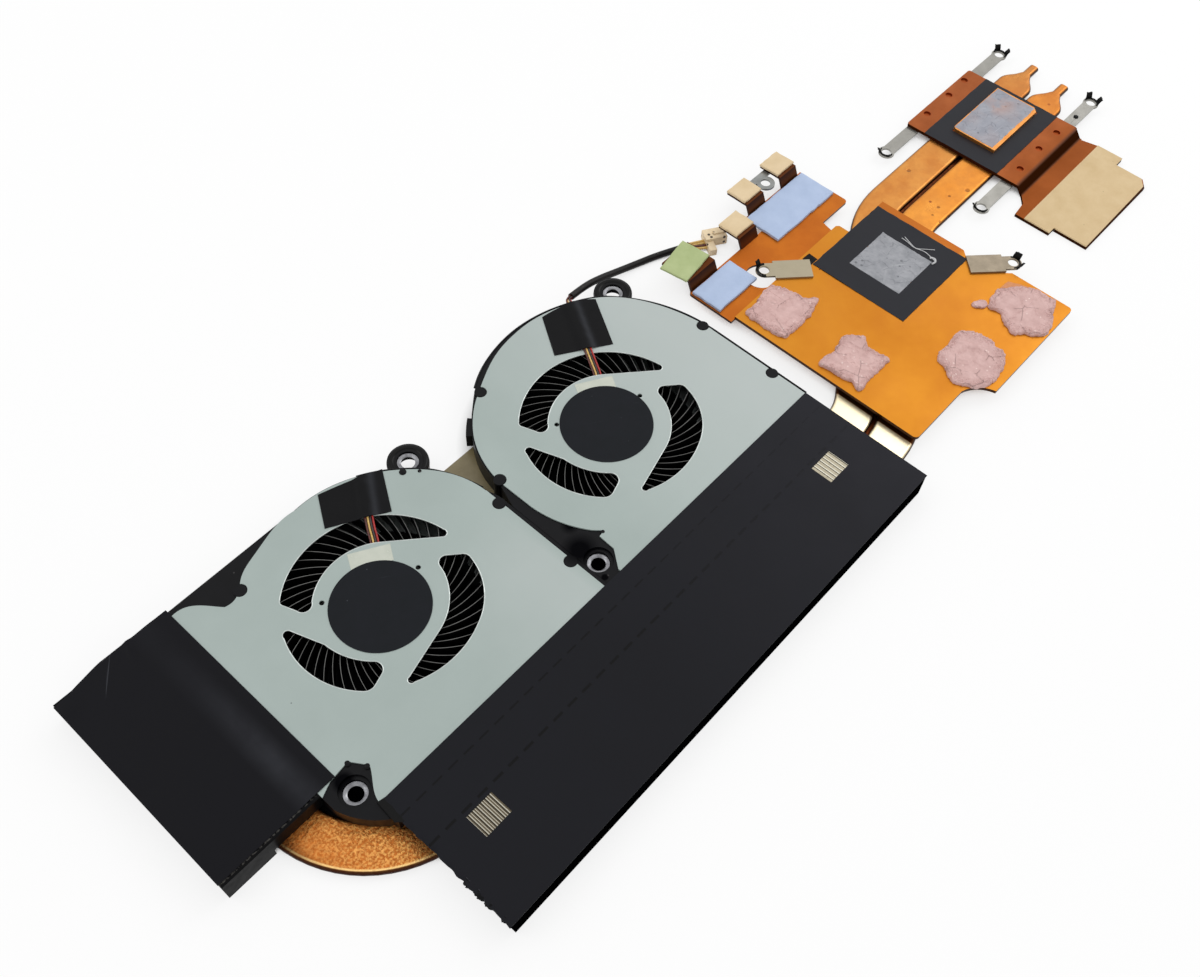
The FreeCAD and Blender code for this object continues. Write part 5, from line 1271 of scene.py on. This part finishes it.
def fin_marks(board):
    """The share of the way across a flange is the remainder of X over the fins' pitch."""
    x, y, z = board.split(board.where)
    along = board.math("ADD", board.product(x, 1000.0), float(LAYOUT_ORIGIN[X] - FIRST_FOLD))
    share = board.math("FRACT", board.math("DIVIDE", along, FIN_PITCH))

    def band(low, high):
        return board.product(board.math("GREATER_THAN", share, low), board.math("LESS_THAN", share, high))

    board.paint(board.over(X, 40, 100, 0.9, 0.0), (74, 64, 48))
    fold = board.product(band(0.06, 0.26), board.over(X, 40, 100, 0.58, 1.0))
    second = board.product(band(0.56, 0.66), board.over(X, 40, 100, 0.7, 0.0))
    board.paint(board.most(fold, second), (208, 204, 188))
    board.paint(board.math("GREATER_THAN", share, 0.87), (30, 25, 18))
    ends = board.most(board.over(X, 0.35, 0.4, 1.0, 0.0), board.over(X, 148.1, 148.15))
    outlet = board.math("LESS_THAN", y, at(Y, 0.7))
    # Painted shade on the fins' faces between them, near the outlet.
    inner = board.product(board.math("LESS_THAN", y, at(Y, 14.0)), board.math("LESS_THAN", z, at(Z, 6.9)),
                          board.math("GREATER_THAN", z, at(Z, 0.06)))
    dark = board.most(ends, outlet, inner)
    board.dull(dark)
    board.paint(dark, (3, 3, 4))


def left_fin_marks(board):
    """Painted near black in front and towards the outlet, with painted glints in a bright line, in
    pieces, where the tape ends.
    """
    _, y, z = board.split(board.where)
    front = board.math("LESS_THAN", y, at(Y, 50.4))
    back = board.math("GREATER_THAN", y, at(Y, 106.9))
    dark = board.most(front, back, board.over(X, -24.0, -23.9, 1.0, 0.0))
    board.paint(dark, (13, 13, 14))
    board.dull(dark, 0.04)
    line = board.product(board.math("GREATER_THAN", y, at(Y, 49.35)),
                         board.math("GREATER_THAN", z, at(Z, 7.12)))
    tape_edge_glints = board.product(line, board.effect(patches, Size=0.9, Softness=0.04), front, 0.5)
    board.paint(tape_edge_glints, (96, 94, 90))


fin_metal = finish("fin aluminium", (172, 164, 144), (154, 146, 126), patch=0.8, roughness=0.34,
                   metallic=0.7, grain=0.4, depth=0.006, specular=0.3,
                   marks=((120, 112, 96), 0.3, 0.0, 0.3), more=fin_marks)
left_fin_metal = finish("left fin aluminium", (206, 200, 182), (184, 176, 154), patch=2.5, roughness=0.4,
                        metallic=0.7, specular=0.3, grain=0.4, depth=0.006, more=left_fin_marks)
print("fin finishes ready")

# %% [markdown]
# ## Contact side
# The insulating film round each chip's window is a frame cut from thin black sheet. A grid of
# places with a mask for the window does it, and slow waves lift it off the copper.

# %% Films with a window
FILM_THICK = 0.09


def window_film(name, outer, window, z, seed, node, curl=0.1):
    """A grid with lines on the window's sides. Waves lift it, most of all near its outer edge, where
    the cut line wanders a little: both fade with the distance from the edge, as exp(-distance)."""
    xs, ys = lines_with(*outer[:2], 0.5, window[:2]), lines_with(*outer[2:], 0.5, window[2:])
    gx, gy = np.meshgrid(xs, ys, indexing="ij")
    cell_x, cell_y = (xs[:-1] + xs[1:]) / 2, (ys[:-1] + ys[1:]) / 2
    across = (cell_x > window[0]) & (cell_x < window[1])
    upwards = (cell_y > window[2]) & (cell_y < window[3])
    from_edge = np.minimum(np.minimum(gx - outer[0], outer[1] - gx), np.minimum(gy - outer[2], outer[3] - gy))
    wander = 0.07 * np.exp(-from_edge / 0.5)
    lift = z + 0.1 + np.abs(rough_noise(gx, gy, 6.0, seed)) * curl * (0.25 + np.exp(-from_edge / 1.5))
    aside, along = (wander * lattice_noise(gx, gy, 1.6, seed + k) for k in (1, 2))
    top = stacked(gx + aside, gy + along, lift)
    sheet(name, top, FILM_THICK, film_black, "black_film", [node], ~(across[:, None] & upwards[None, :]))


GPU_TOP, CPU_TOP, BLOCK_TOP = 4.6, 3.4, 4.6
window_film("graphics_film", (190.1, 222.7, 34.5, 65.9), (197.8, 214.7, 41.3, 58.5), GPU_TOP, 61, "gpu_film")
window_film("processor_film", (261.2, 297.4, 47.9, 74.6), (268.3, 294.8, 53.6, 68.9), CPU_TOP, 65, "cpu_film")

# %% [markdown]
# Thermal pads are soft sheets of filled silicone, cut with a knife. A pad has crisp but slightly
# soft edges, a skin as fine as paper and a faint dent where something has pressed on it. Its grid
# runs between its four corners.

# %% Pads
def pad_finish(name, colour, other):
    shadow = tuple(0.72 * v for v in tone(*colour)[:3]) + (1.0,)
    return finish(name, colour, other, patch=5.0, softness=0.25, roughness=0.72, swing=0.06, specular=0.3,
                  grain=0.45, depth=0.018, dust=(shadow, 2.4, 0.12, 0.06))


blue_silicone = pad_finish("blue silicone", (182, 198, 226), (170, 187, 216))
tan_silicone = pad_finish("tan silicone", (228, 205, 168), (214, 190, 150))
green_silicone = pad_finish("green silicone", (180, 192, 140), (164, 178, 124))


def pad_parts(corners, z0, z1, seed, edge=0.35, wobble=0.12):
    """Corners in turn from lower left. The top rounds off within the edge width and waves a little."""
    a, b, c, d = np.array(corners, float)
    u, v = shares(44, 44)
    from_edge = edge_distance(u, v, np.linalg.norm(b - a), np.linalg.norm(d - a))
    flat = between_corners(a, d, c, b, u, v)
    shift = np.stack([lattice_noise(flat[..., 0], flat[..., 1], 2.2, seed + k) for k in (1, 2)], -1)
    flat = flat + wobble * shift * np.exp(-from_edge / 0.6)[..., None]
    wave = 0.03 * rough_noise(flat[..., 0], flat[..., 1], 3.5, seed)
    height = z1 - 0.03 + wave - 0.16 * (1 - edge_step(from_edge, edge))
    return sheet_parts(raised(flat, np.minimum(height, z1)), raised(flat, z0))


def box_corners(x0, x1, y0, y1):
    return [(x0, y0), (x1, y0), (x1, y1), (x0, y1)]


PAD_LOW, PAD_HIGH, TAB_HIGH, TAB_PAD_HIGH = 3.6, 4.6, 6.9, 7.7
BLUE_LOWER, BLUE_UPPER = box_corners(158.2, 174.8, 74.4, 84.4), box_corners(191.3, 218.5, 79.2, 91.4)
GREEN_CORNERS = [(157.6, 86.6), (169.9, 88.2), (169.0, 97.4), (156.4, 95.2)]
TAN_PLACES = [(181.3, 188.9, 85.3, 93.9), (193.8, 201.4, 92.2, 100.8), (209.7, 217.3, 92.2, 100.8)]
TAN_SIDE, TAN_FRONT, TAN_BACK = 0.2, 2.0, 0.1
tan_parts = []
for index, (x0, x1, y0, y1) in enumerate(TAN_PLACES):
    corners = box_corners(x0 - TAN_SIDE, x1 + TAN_SIDE, y0 + TAN_FRONT, y1 + TAN_BACK)
    tan_parts.append(pad_parts(corners, TAB_HIGH, TAB_PAD_HIGH, 80 + 3 * index))
pads = [
    new_piece("blue_pad_lower", *pad_parts(BLUE_LOWER, PAD_LOW, PAD_HIGH, 71), blue_silicone, "blue_pad",
              replaces=["blue_pad_1"]),
    new_piece("blue_pad_upper", *pad_parts(BLUE_UPPER, PAD_LOW, PAD_HIGH, 74), blue_silicone, "blue_pad",
              replaces=["blue_pad_2"]),
    new_piece("green_pad_cut", *pad_parts(GREEN_CORNERS, TAB_HIGH, TAB_PAD_HIGH, 77), green_silicone,
              "green_pad", replaces=["green_pad"]),
    new_piece("tan_pads_cut", *joined(tan_parts), tan_silicone, "tan_pad", replaces=["tan_pads"]),
]

# %% [markdown]
# The wide pad on the wing is cut to the wing's own outline, with a step at each side. Two blocks
# of rows share the line where the steps are, and a mask leaves out what lies beyond the lower
# block's sides.

# %% Wing pad
WING_LOW, WING_HIGH = 1.0, 1.5
WING_LEFT, WING_RIGHT, CORNER_CUT = (252.8, 255.5), (293.3, 297.3), 290.5
WING_FRONT, WING_LINE, WING_BACK = 12.5, 23.5, 32.2
xs = lines_with(WING_LEFT[0], WING_RIGHT[1], 0.62, [WING_LEFT[1], CORNER_CUT, WING_RIGHT[0]])
lower_share, upper_share = np.linspace(0, 1, 20), np.linspace(0, 1, 18)[1:]
low_line = WING_FRONT + 2.1 * np.clip((xs - CORNER_CUT) / 2.8, 0, 1)
lower_y = low_line[:, None] + (WING_LINE - low_line[:, None]) * lower_share
upper_y = WING_LINE + (WING_BACK - WING_LINE) * upper_share
gy = np.concatenate([lower_y, np.broadcast_to(upper_y, (len(xs), len(upper_y)))], 1)
gx = np.broadcast_to(xs[:, None], gy.shape)
middle = (xs[:-1] + xs[1:]) / 2
inside = (middle > WING_LEFT[1]) & (middle < WING_RIGHT[0])
keep = np.ones((gy.shape[0] - 1, gy.shape[1] - 1), bool)
keep[:, :len(lower_share) - 1] = inside[:, None]
wave = np.abs(0.05 * rough_noise(gx, gy, 7.0, 91)) - 0.04
top = stacked(gx, gy, WING_HIGH + np.minimum(wave, 0.02))
bottom = stacked(gx, gy, np.full(gx.shape, WING_LOW))
wing_silicone = pad_finish("wing silicone", (217, 192, 150), (205, 178, 134))
wing_pad = new_piece("wing_pad_cut", *sheet_parts(top, bottom, keep), wing_silicone, "tan_pad",
                     replaces=["wing_pad"])

# %% [markdown]
# Thermal putty is dabbed on and pressed flat, so it ends in a torn, uneven line and its skin is
# folded and cracked. A square grid is bent into the dab: each place keeps its angle, and its share
# of the way out reaches the outline at that angle. Ridged noise folds the skin.

# %% Putty
def smooth_outline(points, count=360):
    """A closed curve through places: each stretch is a cubic that leaves along its neighbours' chord."""
    p = np.array(points, float)
    before, after, beyond = np.roll(p, 1, 0), np.roll(p, -1, 0), np.roll(p, -2, 0)
    t = np.linspace(0, 1, count // len(p), endpoint=False)[None, :, None]
    a, b, c, d = (q[:, None, :] for q in (before, p, after, beyond))
    square, cube = 2 * a - 5 * b + 4 * c - d, 3 * b - a - 3 * c + d
    curve = 0.5 * (2 * b + (c - a) * t + square * t ** 2 + cube * t ** 3)
    return curve.reshape(-1, 2)


def dab_grid(points, seed, ragged, count=120):
    """The square grid bent into the outline, and each place's share of the way from middle to rim."""
    outline = smooth_outline(points)
    middle = outline.mean(0)
    arm = outline - middle
    angle, reach = np.arctan2(arm[:, 1], arm[:, 0]), np.hypot(arm[:, 0], arm[:, 1])
    order = np.argsort(angle)
    u, v = shares(count, count, -1)
    share, turn = np.maximum(np.abs(u), np.abs(v)), np.arctan2(v, u)
    rim = np.interp(turn, angle[order], reach[order], period=2 * np.pi)
    torn = rough_noise(3 + rim * np.cos(turn), 3 + rim * np.sin(turn), 1.5, seed, 4)
    out = share * (rim + ragged * torn * share ** 3)
    return middle + np.stack([out * np.cos(turn), out * np.sin(turn)], -1), share


def putty_parts(points, seed, thick=1.0):
    """The dab's skin: nearly level inside with a few ridged folds, and crumbs where it is torn."""
    flat, share = dab_grid(points, seed, 0.34)
    x, y = flat[..., 0], flat[..., 1]
    bent = x + 0.9 * lattice_noise(x, y, 2.6, seed + 9)
    folds = 1 - np.abs(rough_noise(bent, y, 5.0, seed + 5, 4)) * 1.6
    steps = np.clip(rough_noise(x * 0.8 + y * 0.6, bent, 4.2, seed + 2, 2) * 6, -1, 1)
    lumps = rough_noise(x, y, 1.8, seed + 3, 3)
    crumbs = np.abs(rough_noise(x, y, 0.55, seed + 7, 3)) * np.clip((share - 0.6) / 0.3, 0, 1)
    height = thick * (0.66 + 0.26 * np.clip(folds, 0, 1) ** 4 + 0.13 * steps + 0.08 * lumps + 0.4 * crumbs)
    height = GPU_TOP + np.clip(height, 0.12, 1.28) * edge_step(1 - share, 0.06)
    height[share >= 1.0] = GPU_TOP + 0.12
    return sheet_parts(raised(flat, height), raised(flat, GPU_TOP))


def cracked(board):
    """A few fine cracks, kept to patches of the skin."""
    lines = board.product(board.effect(cracks, Size=7.5, Width=0.014),
                          board.effect(patches, Size=5.0, Softness=0.03))
    board.paint(board.product(lines, 0.22), (98, 64, 60))
    board.sink(lines, 0.15)


PUTTY_DABS = {1: [(161.6, 68.2), (164.6, 68.5), (167.9, 68.9), (170.9, 69.8), (174.6, 69.7), (176.5, 67.8),
                  (176.9, 65.6), (177.7, 62.6), (177.9, 59.1), (180.1, 57.5), (180.0, 56.3), (177.5, 55.6),
                  (176.1, 54.9), (172.3, 54.5), (167.8, 54.4), (163.9, 54.6), (162.1, 55.0), (161.4, 57.3),
                  (161.3, 60.1), (161.4, 63.8)],
              2: [(161.4, 42.6), (163.9, 43.0), (167.3, 42.1), (169.2, 42.7), (173.7, 43.3), (176.3, 41.6),
                  (178.0, 39.3), (176.6, 37.6), (175.1, 35.9), (175.5, 33.5), (175.9, 31.0), (175.8, 29.5),
                  (173.2, 29.1), (169.3, 29.1), (165.7, 29.3), (162.5, 28.7), (161.6, 30.1), (162.4, 32.3),
                  (161.9, 35.4), (161.7, 38.7)],
              3: [(184.9, 19.9), (187.9, 20.9), (190.9, 20.5), (193.8, 21.1), (197.2, 21.2), (199.5, 19.0),
                  (201.4, 16.1), (201.2, 13.4), (200.3, 10.5), (199.9, 8.3), (197.7, 5.9), (194.3, 4.8),
                  (190.6, 4.1), (187.2, 4.6), (184.0, 6.5), (182.7, 8.9), (181.3, 11.9), (182.2, 14.5),
                  (184.0, 16.7)],
              4: [(211.9, 20.6), (215.8, 21.4), (218.8, 21.6), (221.6, 19.4), (225.2, 15.6), (226.3, 12.6),
                  (226.4, 9.7), (226.3, 7.1), (223.9, 5.8), (220.8, 4.8), (218.2, 3.3), (215.2, 2.7),
                  (212.3, 3.3), (211.0, 4.5), (209.7, 6.9), (207.8, 8.9), (207.3, 10.5), (208.3, 12.1),
                  (209.3, 14.2), (210.9, 15.7), (211.7, 17.5), (210.9, 19.3)]}
PUTTY_TAIL = [(208.4, 22.6), (209.4, 24.0), (211.5, 23.2), (212.4, 21.4), (211.6, 20.4), (209.9, 20.8)]
PUTTY_SMEAR = [(219.4, 21.4), (224.0, 21.3), (226.0, 15.4), (222.4, 17.6)]
pink_putty = finish("pink thermal putty", (218, 182, 177), (198, 161, 156), patch=3.0, softness=0.2,
                    roughness=0.58, swing=0.1, specular=0.4, grain=0.6, depth=0.07,
                    dust=((232, 206, 200), 1.4, 0.2, 0.14), more=cracked)
for number, dab in PUTTY_DABS.items():
    parts = [putty_parts(dab, 100 + 10 * number)]
    if number == 4:
        parts.append(putty_parts(PUTTY_TAIL, 149, 0.6))
    new_piece(f"putty_dab_{number}", *joined(parts), pink_putty, "putty", replaces=[f"putty_{number}"])
thin_putty = finish("thin putty smear", (212, 140, 88), (196, 124, 70), patch=1.4, roughness=0.5, grain=0.4,
                    depth=0.01)
smear_parts = pad_parts(PUTTY_SMEAR, GPU_TOP - 0.02, GPU_TOP + 0.12, 157, 0.4, 0.3)
new_piece("putty_smear", *smear_parts, thin_putty, "putty")

# %% [markdown]
# Thermal paste dries to a grey skin with smears and small craters. On the graphics plate it fills
# the film's window unevenly, and on the processor's block it is a thinner, bluer wash through
# which the copper shows in places.

# %% Paste
def paste_parts(box, z, seed, thick, ragged):
    """A pad's grid with torn sides, raised by ridged noise into smears that run across it."""
    x0, x1, y0, y1 = box
    u, v = shares(96, 96)
    from_edge = edge_distance(u, v, x1 - x0, y1 - y0)
    x, y = x0 + u * (x1 - x0), y0 + v * (y1 - y0)
    pull = np.exp(-from_edge / 0.5) * ragged
    x, y = x + pull * rough_noise(x, y, 1.5, seed), y + pull * rough_noise(x, y, 1.5, seed + 4)
    smear = 1 - np.abs(rough_noise(x * 0.9 + y * 0.5, (y - x * 0.5) * 0.35, 1.6, seed + 8, 4))
    height = z + thick * (0.35 + 0.6 * smear ** 2) * edge_step(from_edge + 0.05, 0.3)
    return sheet_parts(stacked(x, y, height), stacked(x, y, np.full(x.shape, z)))


def cratered(board):
    """Small round craters, and fine cracks in patches, both darker and deeper than the skin."""
    pits = board.effect(specks, Size=1.9, Cover=0.16, Radius=0.16)
    lines = board.product(board.effect(cracks, Size=3.2, Width=0.03),
                          board.effect(patches, Size=2.6, Softness=0.05))
    dark = board.most(board.product(pits, 0.7), board.product(lines, 0.6))
    board.paint(dark, (84, 86, 92))
    board.sink(dark, 0.06)


RUST_PLACE = (288.0, 64.5)


def worn_through(board):
    """Cratered too, and so thin in patches, most of all in one corner, that the copper shows."""
    cratered(board)
    corner = board.spread(board.near(RUST_PLACE, 1.0, 6.0), 0.0, 1.0, 0.12, 0.6)
    board.paint(board.product(board.effect(patches, Size=7.0, Softness=0.08), corner), (186, 142, 122))


grey_paste = finish("grey thermal paste", (154, 155, 160), (134, 136, 141), patch=3.0, roughness=0.5,
                    swing=0.12, specular=0.5, metallic=0.2, grain=0.3, depth=0.03,
                    marks=((182, 184, 188), 0.5, 40.0, 0.35), more=cratered)
blue_paste = finish("bluish thermal paste", (152, 154, 163), (136, 138, 148), patch=4.0, roughness=0.45,
                    swing=0.12, specular=0.5, metallic=0.25, grain=0.3, depth=0.02,
                    marks=((170, 173, 182), 0.9, 4.0, 0.35), more=worn_through)
grey_parts = paste_parts((197.75, 214.75, 41.25, 58.55), GPU_TOP, 141, 0.2, 0.1)
blue_parts = paste_parts((268.8, 294.4, 54.8, 68.7), BLOCK_TOP, 151, 0.13, 0.15)
new_piece("graphics_paste", *grey_parts, grey_paste, "paste", replaces=["gpu_paste"])
new_piece("processor_paste", *blue_parts, blue_paste, "paste", replaces=["cpu_paste"])
PASTE_THREADS = [
    [(216.5, 53.1), (216.4, 50.9), (215.6, 48.3), (216.6, 45.5), (216.3, 43.5), (215.5, 40.9)],
    [(217.5, 52.7), (216.2, 49.4), (215.7, 47.6), (217.6, 45.4), (219.2, 43.3)],
    [(215.5, 42.6), (216.5, 41.6), (215.1, 40.2), (213.9, 40.9)],
]
THREAD_RADIUS, THREAD_HEIGHT = (0.13, 0.11, 0.3), GPU_TOP + 0.24
dry_paste = finish("dried paste thread", (206, 206, 206), (170, 171, 174), patch=1.0, roughness=0.6,
                   grain=0.3, depth=0.03)
for index, line in enumerate(PASTE_THREADS):
    places = raised(np.array(line), THREAD_HEIGHT)
    route(f"paste_thread_{index + 1}", places, THREAD_RADIUS[index], dry_paste, sides=3)
print("paste threads:", len(PASTE_THREADS))

# %% [markdown]
# The leaf springs are stamped stainless strip, satin from rolling, with fine lines along them and
# a brighter skin on the two short ones. The thin sheet between the fans is a brown film.

# %% Steel and the bridging film
strip_steel = finish("rolled steel strip", (156, 154, 148), (138, 136, 130), patch=5.0, roughness=0.36,
                     metallic=0.8, grain=0.3, depth=0.005, marks=((112, 112, 104), 0.22, 0.0, 0.4))


def paler_left(board):
    """The leaf on the left is the paler of the two, by X."""
    board.paint(board.over(X, 196, 214, 0.55, 0.0), (176, 167, 142))


short_steel = finish("short steel leaf", (142, 130, 112), (128, 117, 100), patch=3.0, roughness=0.38,
                     metallic=0.75, grain=0.3, depth=0.006, marks=((180, 172, 150), 0.25, 45.0, 0.35),
                     more=paler_left)
bracket_steel = finish("bracket steel", (150, 152, 150), (126, 128, 126), patch=3.0, roughness=0.4,
                       metallic=0.75, grain=0.3, depth=0.006)
bridge_brown = finish("brown bridging film", (134, 122, 88), (112, 100, 68), patch=6.0, roughness=0.4,
                      grain=0.5, depth=0.01, marks=((150, 138, 114), 0.5, 20.0, 0.3))


def dark_wells(board):
    """Seen down through the lower ears' bushes the back cover is in the dark."""
    wells = 0.0
    for x, y, _ in BUSH_PLACES[1::2]:
        wells = board.math("ADD", wells, board.near((x, y), 3.6, 4.0), clamp=True)
    board.dull(wells)
    board.paint(wells, (5, 5, 6))


back_metal = finish("back cover metal", (150, 156, 154), (134, 140, 139), patch=20.0, softness=0.3,
                    roughness=0.45, metallic=0.5, grain=0.3, depth=0.006,
                    marks=((120, 126, 124), 0.4, 15.0, 0.25), more=dark_wells)
print("steel finishes ready")

# %% [markdown]
# Three small dark sheets fill what would otherwise show through: the housing's black skirt over
# the first fan's cover by its lower ear, a low sheet of painted shade that closes the gaps between
# that ear, the tapes and the pipe, and a sheet of painted shade in the well beside the first short
# leaf. Each is a thin sheet between four corners.

# %% Dark fillers
# The skirt's first sheet is the housing's black lip; its low second sheet and the slot's sheet are painted
# shade.
FILLERS = {"fan_1_skirt_and_gap_shade": [([(-1.9, 39.0), (0.5, 38.5), (-0.3, 31.2), (-2.3, 33.0)], 7.22, 7.35),
                           ([(-12.2, 48.0), (-8.8, 43.6), (-5.6, 47.8), (-9.4, 52.0)], 0.35, 0.8)],
           "spring_slot_shade": [([(189.3, 66.0), (192.7, 66.0), (192.9, 69.3), (189.6, 69.5)], GPU_TOP - 0.03,
                            GPU_TOP + 0.04)]}
for name, sheets in FILLERS.items():
    parts = [pad_parts(corners, low, high, 170, 0.1, 0.05) for corners, low, high in sheets]
    new_piece(name, *joined(parts), black_clip_and_shade, "housing_plastic")

# %% [markdown]
# Each end of a leaf spring has an eye for a screw. A blackened clip keeps the screw there: a wire
# bent round the outer half of the eye, with two small tabs that stand up and lean outwards. On the
# lower processor leaf a small black disc fills the gauge hole, which looks dark.

# %% Spring clips and the gauge hole's black disc
CLIP_EYES = [(246.7, 78.8, 2.4, 180.0, 1.95, 0.13, 0.5), (312.7, 78.8, 2.4, 0.0, 2.0, 0.16, 1.0),
             (246.7, 43.9, 2.4, 180.0, 1.95, 0.13, 0.5), (312.7, 43.9, 2.4, 0.0, 2.0, 0.16, 1.0),
             (178.3, 74.3, 4.85, 135.0, 2.2, 0.45, 0.8), (230.4, 24.0, 4.85, -45.0, 2.15, 0.3, 1.15)]
CLIP_TURN, WIRE_REACH, WIRE_THICK = 48.0, 92.0, 0.36
TAB_WIDTH, TAB_RISE, TAB_LEAN, TAB_THICK = 1.9, 1.75, 0.75, 0.4


def band_parts(eye):
    """A bent square wire round the eye: its four corners swing through the arc, and both ends are closed."""
    x, y, z, middle, radius, half, _ = eye
    turn = np.radians(np.linspace(middle - WIRE_REACH, middle + WIRE_REACH, 40))
    corners = [(-half, 0.0), (half, 0.0), (half, WIRE_THICK), (-half, WIRE_THICK)]
    rings = [stacked(x + (radius + a) * np.cos(turn), y + (radius + a) * np.sin(turn), z + b)
             for a, b in corners]
    points = np.stack(rings, 1)
    index = np.arange(points.shape[0] * 4).reshape(-1, 4)
    closed = np.concatenate([index, index[:, :1]], 1)
    return points.reshape(-1, 3), [*quads_of(closed), index[0], index[-1][::-1]]


def tab_parts(eye, side, seed):
    """A leaning plate on the wire: a grid across and up, its top moved outwards, its edge bitten."""
    x, y, z, middle, radius, _, size = eye
    angle = math.radians(middle + side * CLIP_TURN)
    out = np.array((math.cos(angle), math.sin(angle), 0.0))
    across = np.array((-out[1], out[0], 0.0))
    u, v = np.meshgrid(np.linspace(-1, 1, 9), np.linspace(0, 1, 7), indexing="ij")
    ragged = 1 + 0.12 * lattice_noise(u * 3 + seed, v * 3, 1.1, seed)
    u, v = u[..., None], v[..., None]
    ragged = ragged[..., None]
    places = (x, y, z) + out * (radius + TAB_LEAN * v ** 2) + across * (TAB_WIDTH * size / 2) * u * ragged
    places = places + np.array((0, 0, 1.0)) * TAB_RISE * min(size + 0.2, 1.0) * v * ragged
    return sheet_parts(places + out * TAB_THICK, places)


clip_parts = []
for number, eye in enumerate(CLIP_EYES):
    clip_parts.append(band_parts(eye))
    clip_parts += [tab_parts(eye, side, 160 + 2 * number + side) for side in (-1, 1)]
new_piece("spring_clips", *joined(clip_parts), black_clip_and_shade, "clip_steel", replaces=["leaf_clips"])
# A small black disc fills the gauge hole, as dark as the hole looks.
GAUGE_HOLE_PLACE = (303.1, 43.9)
GAUGE_HOLE_DISC = [(0.0, 2.2), (0.78, 2.2), (0.78, 2.6), (0.5, 2.78), (0.0, 2.82)]
new_piece("gauge_hole_black_disc", *turned_parts(GAUGE_HOLE_PLACE, GAUGE_HOLE_DISC, sides=32), black_clip_and_shade, "clip_steel")

# %% [markdown]
# ## Finishes onto the frame
# Every frame node that keeps its own shape takes its finish here, in one table.

# %% Finishes by node
FINISHES = {
    cream_plastic: ["fan_2_connector"],
    cover_metal: ["fan_1_cover", "fan_2_cover"],
    back_metal: ["fan_1_back_cover", "fan_2_back_cover"],
    housing_plastic: ["fan_1_housing", "fan_2_housing"],
    label_film: ["fan_1_label", "fan_2_label"],
    blade_metal: ["fan_1_blades", "fan_2_blades"],
    rotor_plastic: ["fan_1_hub", "fan_2_hub"],
    magnet_grey: ["fan_1_magnet", "fan_2_magnet"],
    shaft_steel: ["fan_1_shaft", "fan_2_shaft", "fan_1_bearing", "fan_2_bearing"],
    motor_parts: ["fan_1_stator", "fan_2_stator"],
    fin_metal: ["main_fin_stack"],
    left_fin_metal: ["left_fin_stack"],
    long_copper: ["long_heat_pipe"],
    short_copper: ["short_heat_pipe"],
    plate_copper: ["gpu_plate", "gpu_cold_block"],
    side_copper: ["side_plate"],
    strip_copper: ["cpu_plate"],
    block_copper: ["cpu_cold_block"],
    strip_steel: ["cpu_leaf_upper", "cpu_leaf_lower"],
    short_steel: ["gpu_leaf_1", "gpu_leaf_2"],
    bracket_steel: ["steel_bracket"],
    bridge_brown: ["bridging_sheet"],
}
for material, names in FINISHES.items():
    for name in names:
        mesh = nodes[name].data
        mesh.materials.clear()
        mesh.materials.append(material)
        mesh.polygons.foreach_set("material_index", np.zeros(len(mesh.polygons), np.int32))
print("finished nodes:", sum(len(names) for names in FINISHES.values()))

# %% [markdown]
# Last, how far the dressed object's box has grown past the frame's own box at its high corner
# is printed.

# %% Size and finish
def plain(box):
    return [[float(v) for v in corner] for corner in box]


dressed_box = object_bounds()
growth = [1000 * (b - a) for a, b in zip(plain(CAD_BOX)[1], plain(dressed_box)[1])]
print("grown at the high corner by, mm:", [round(v, 2) for v in growth])
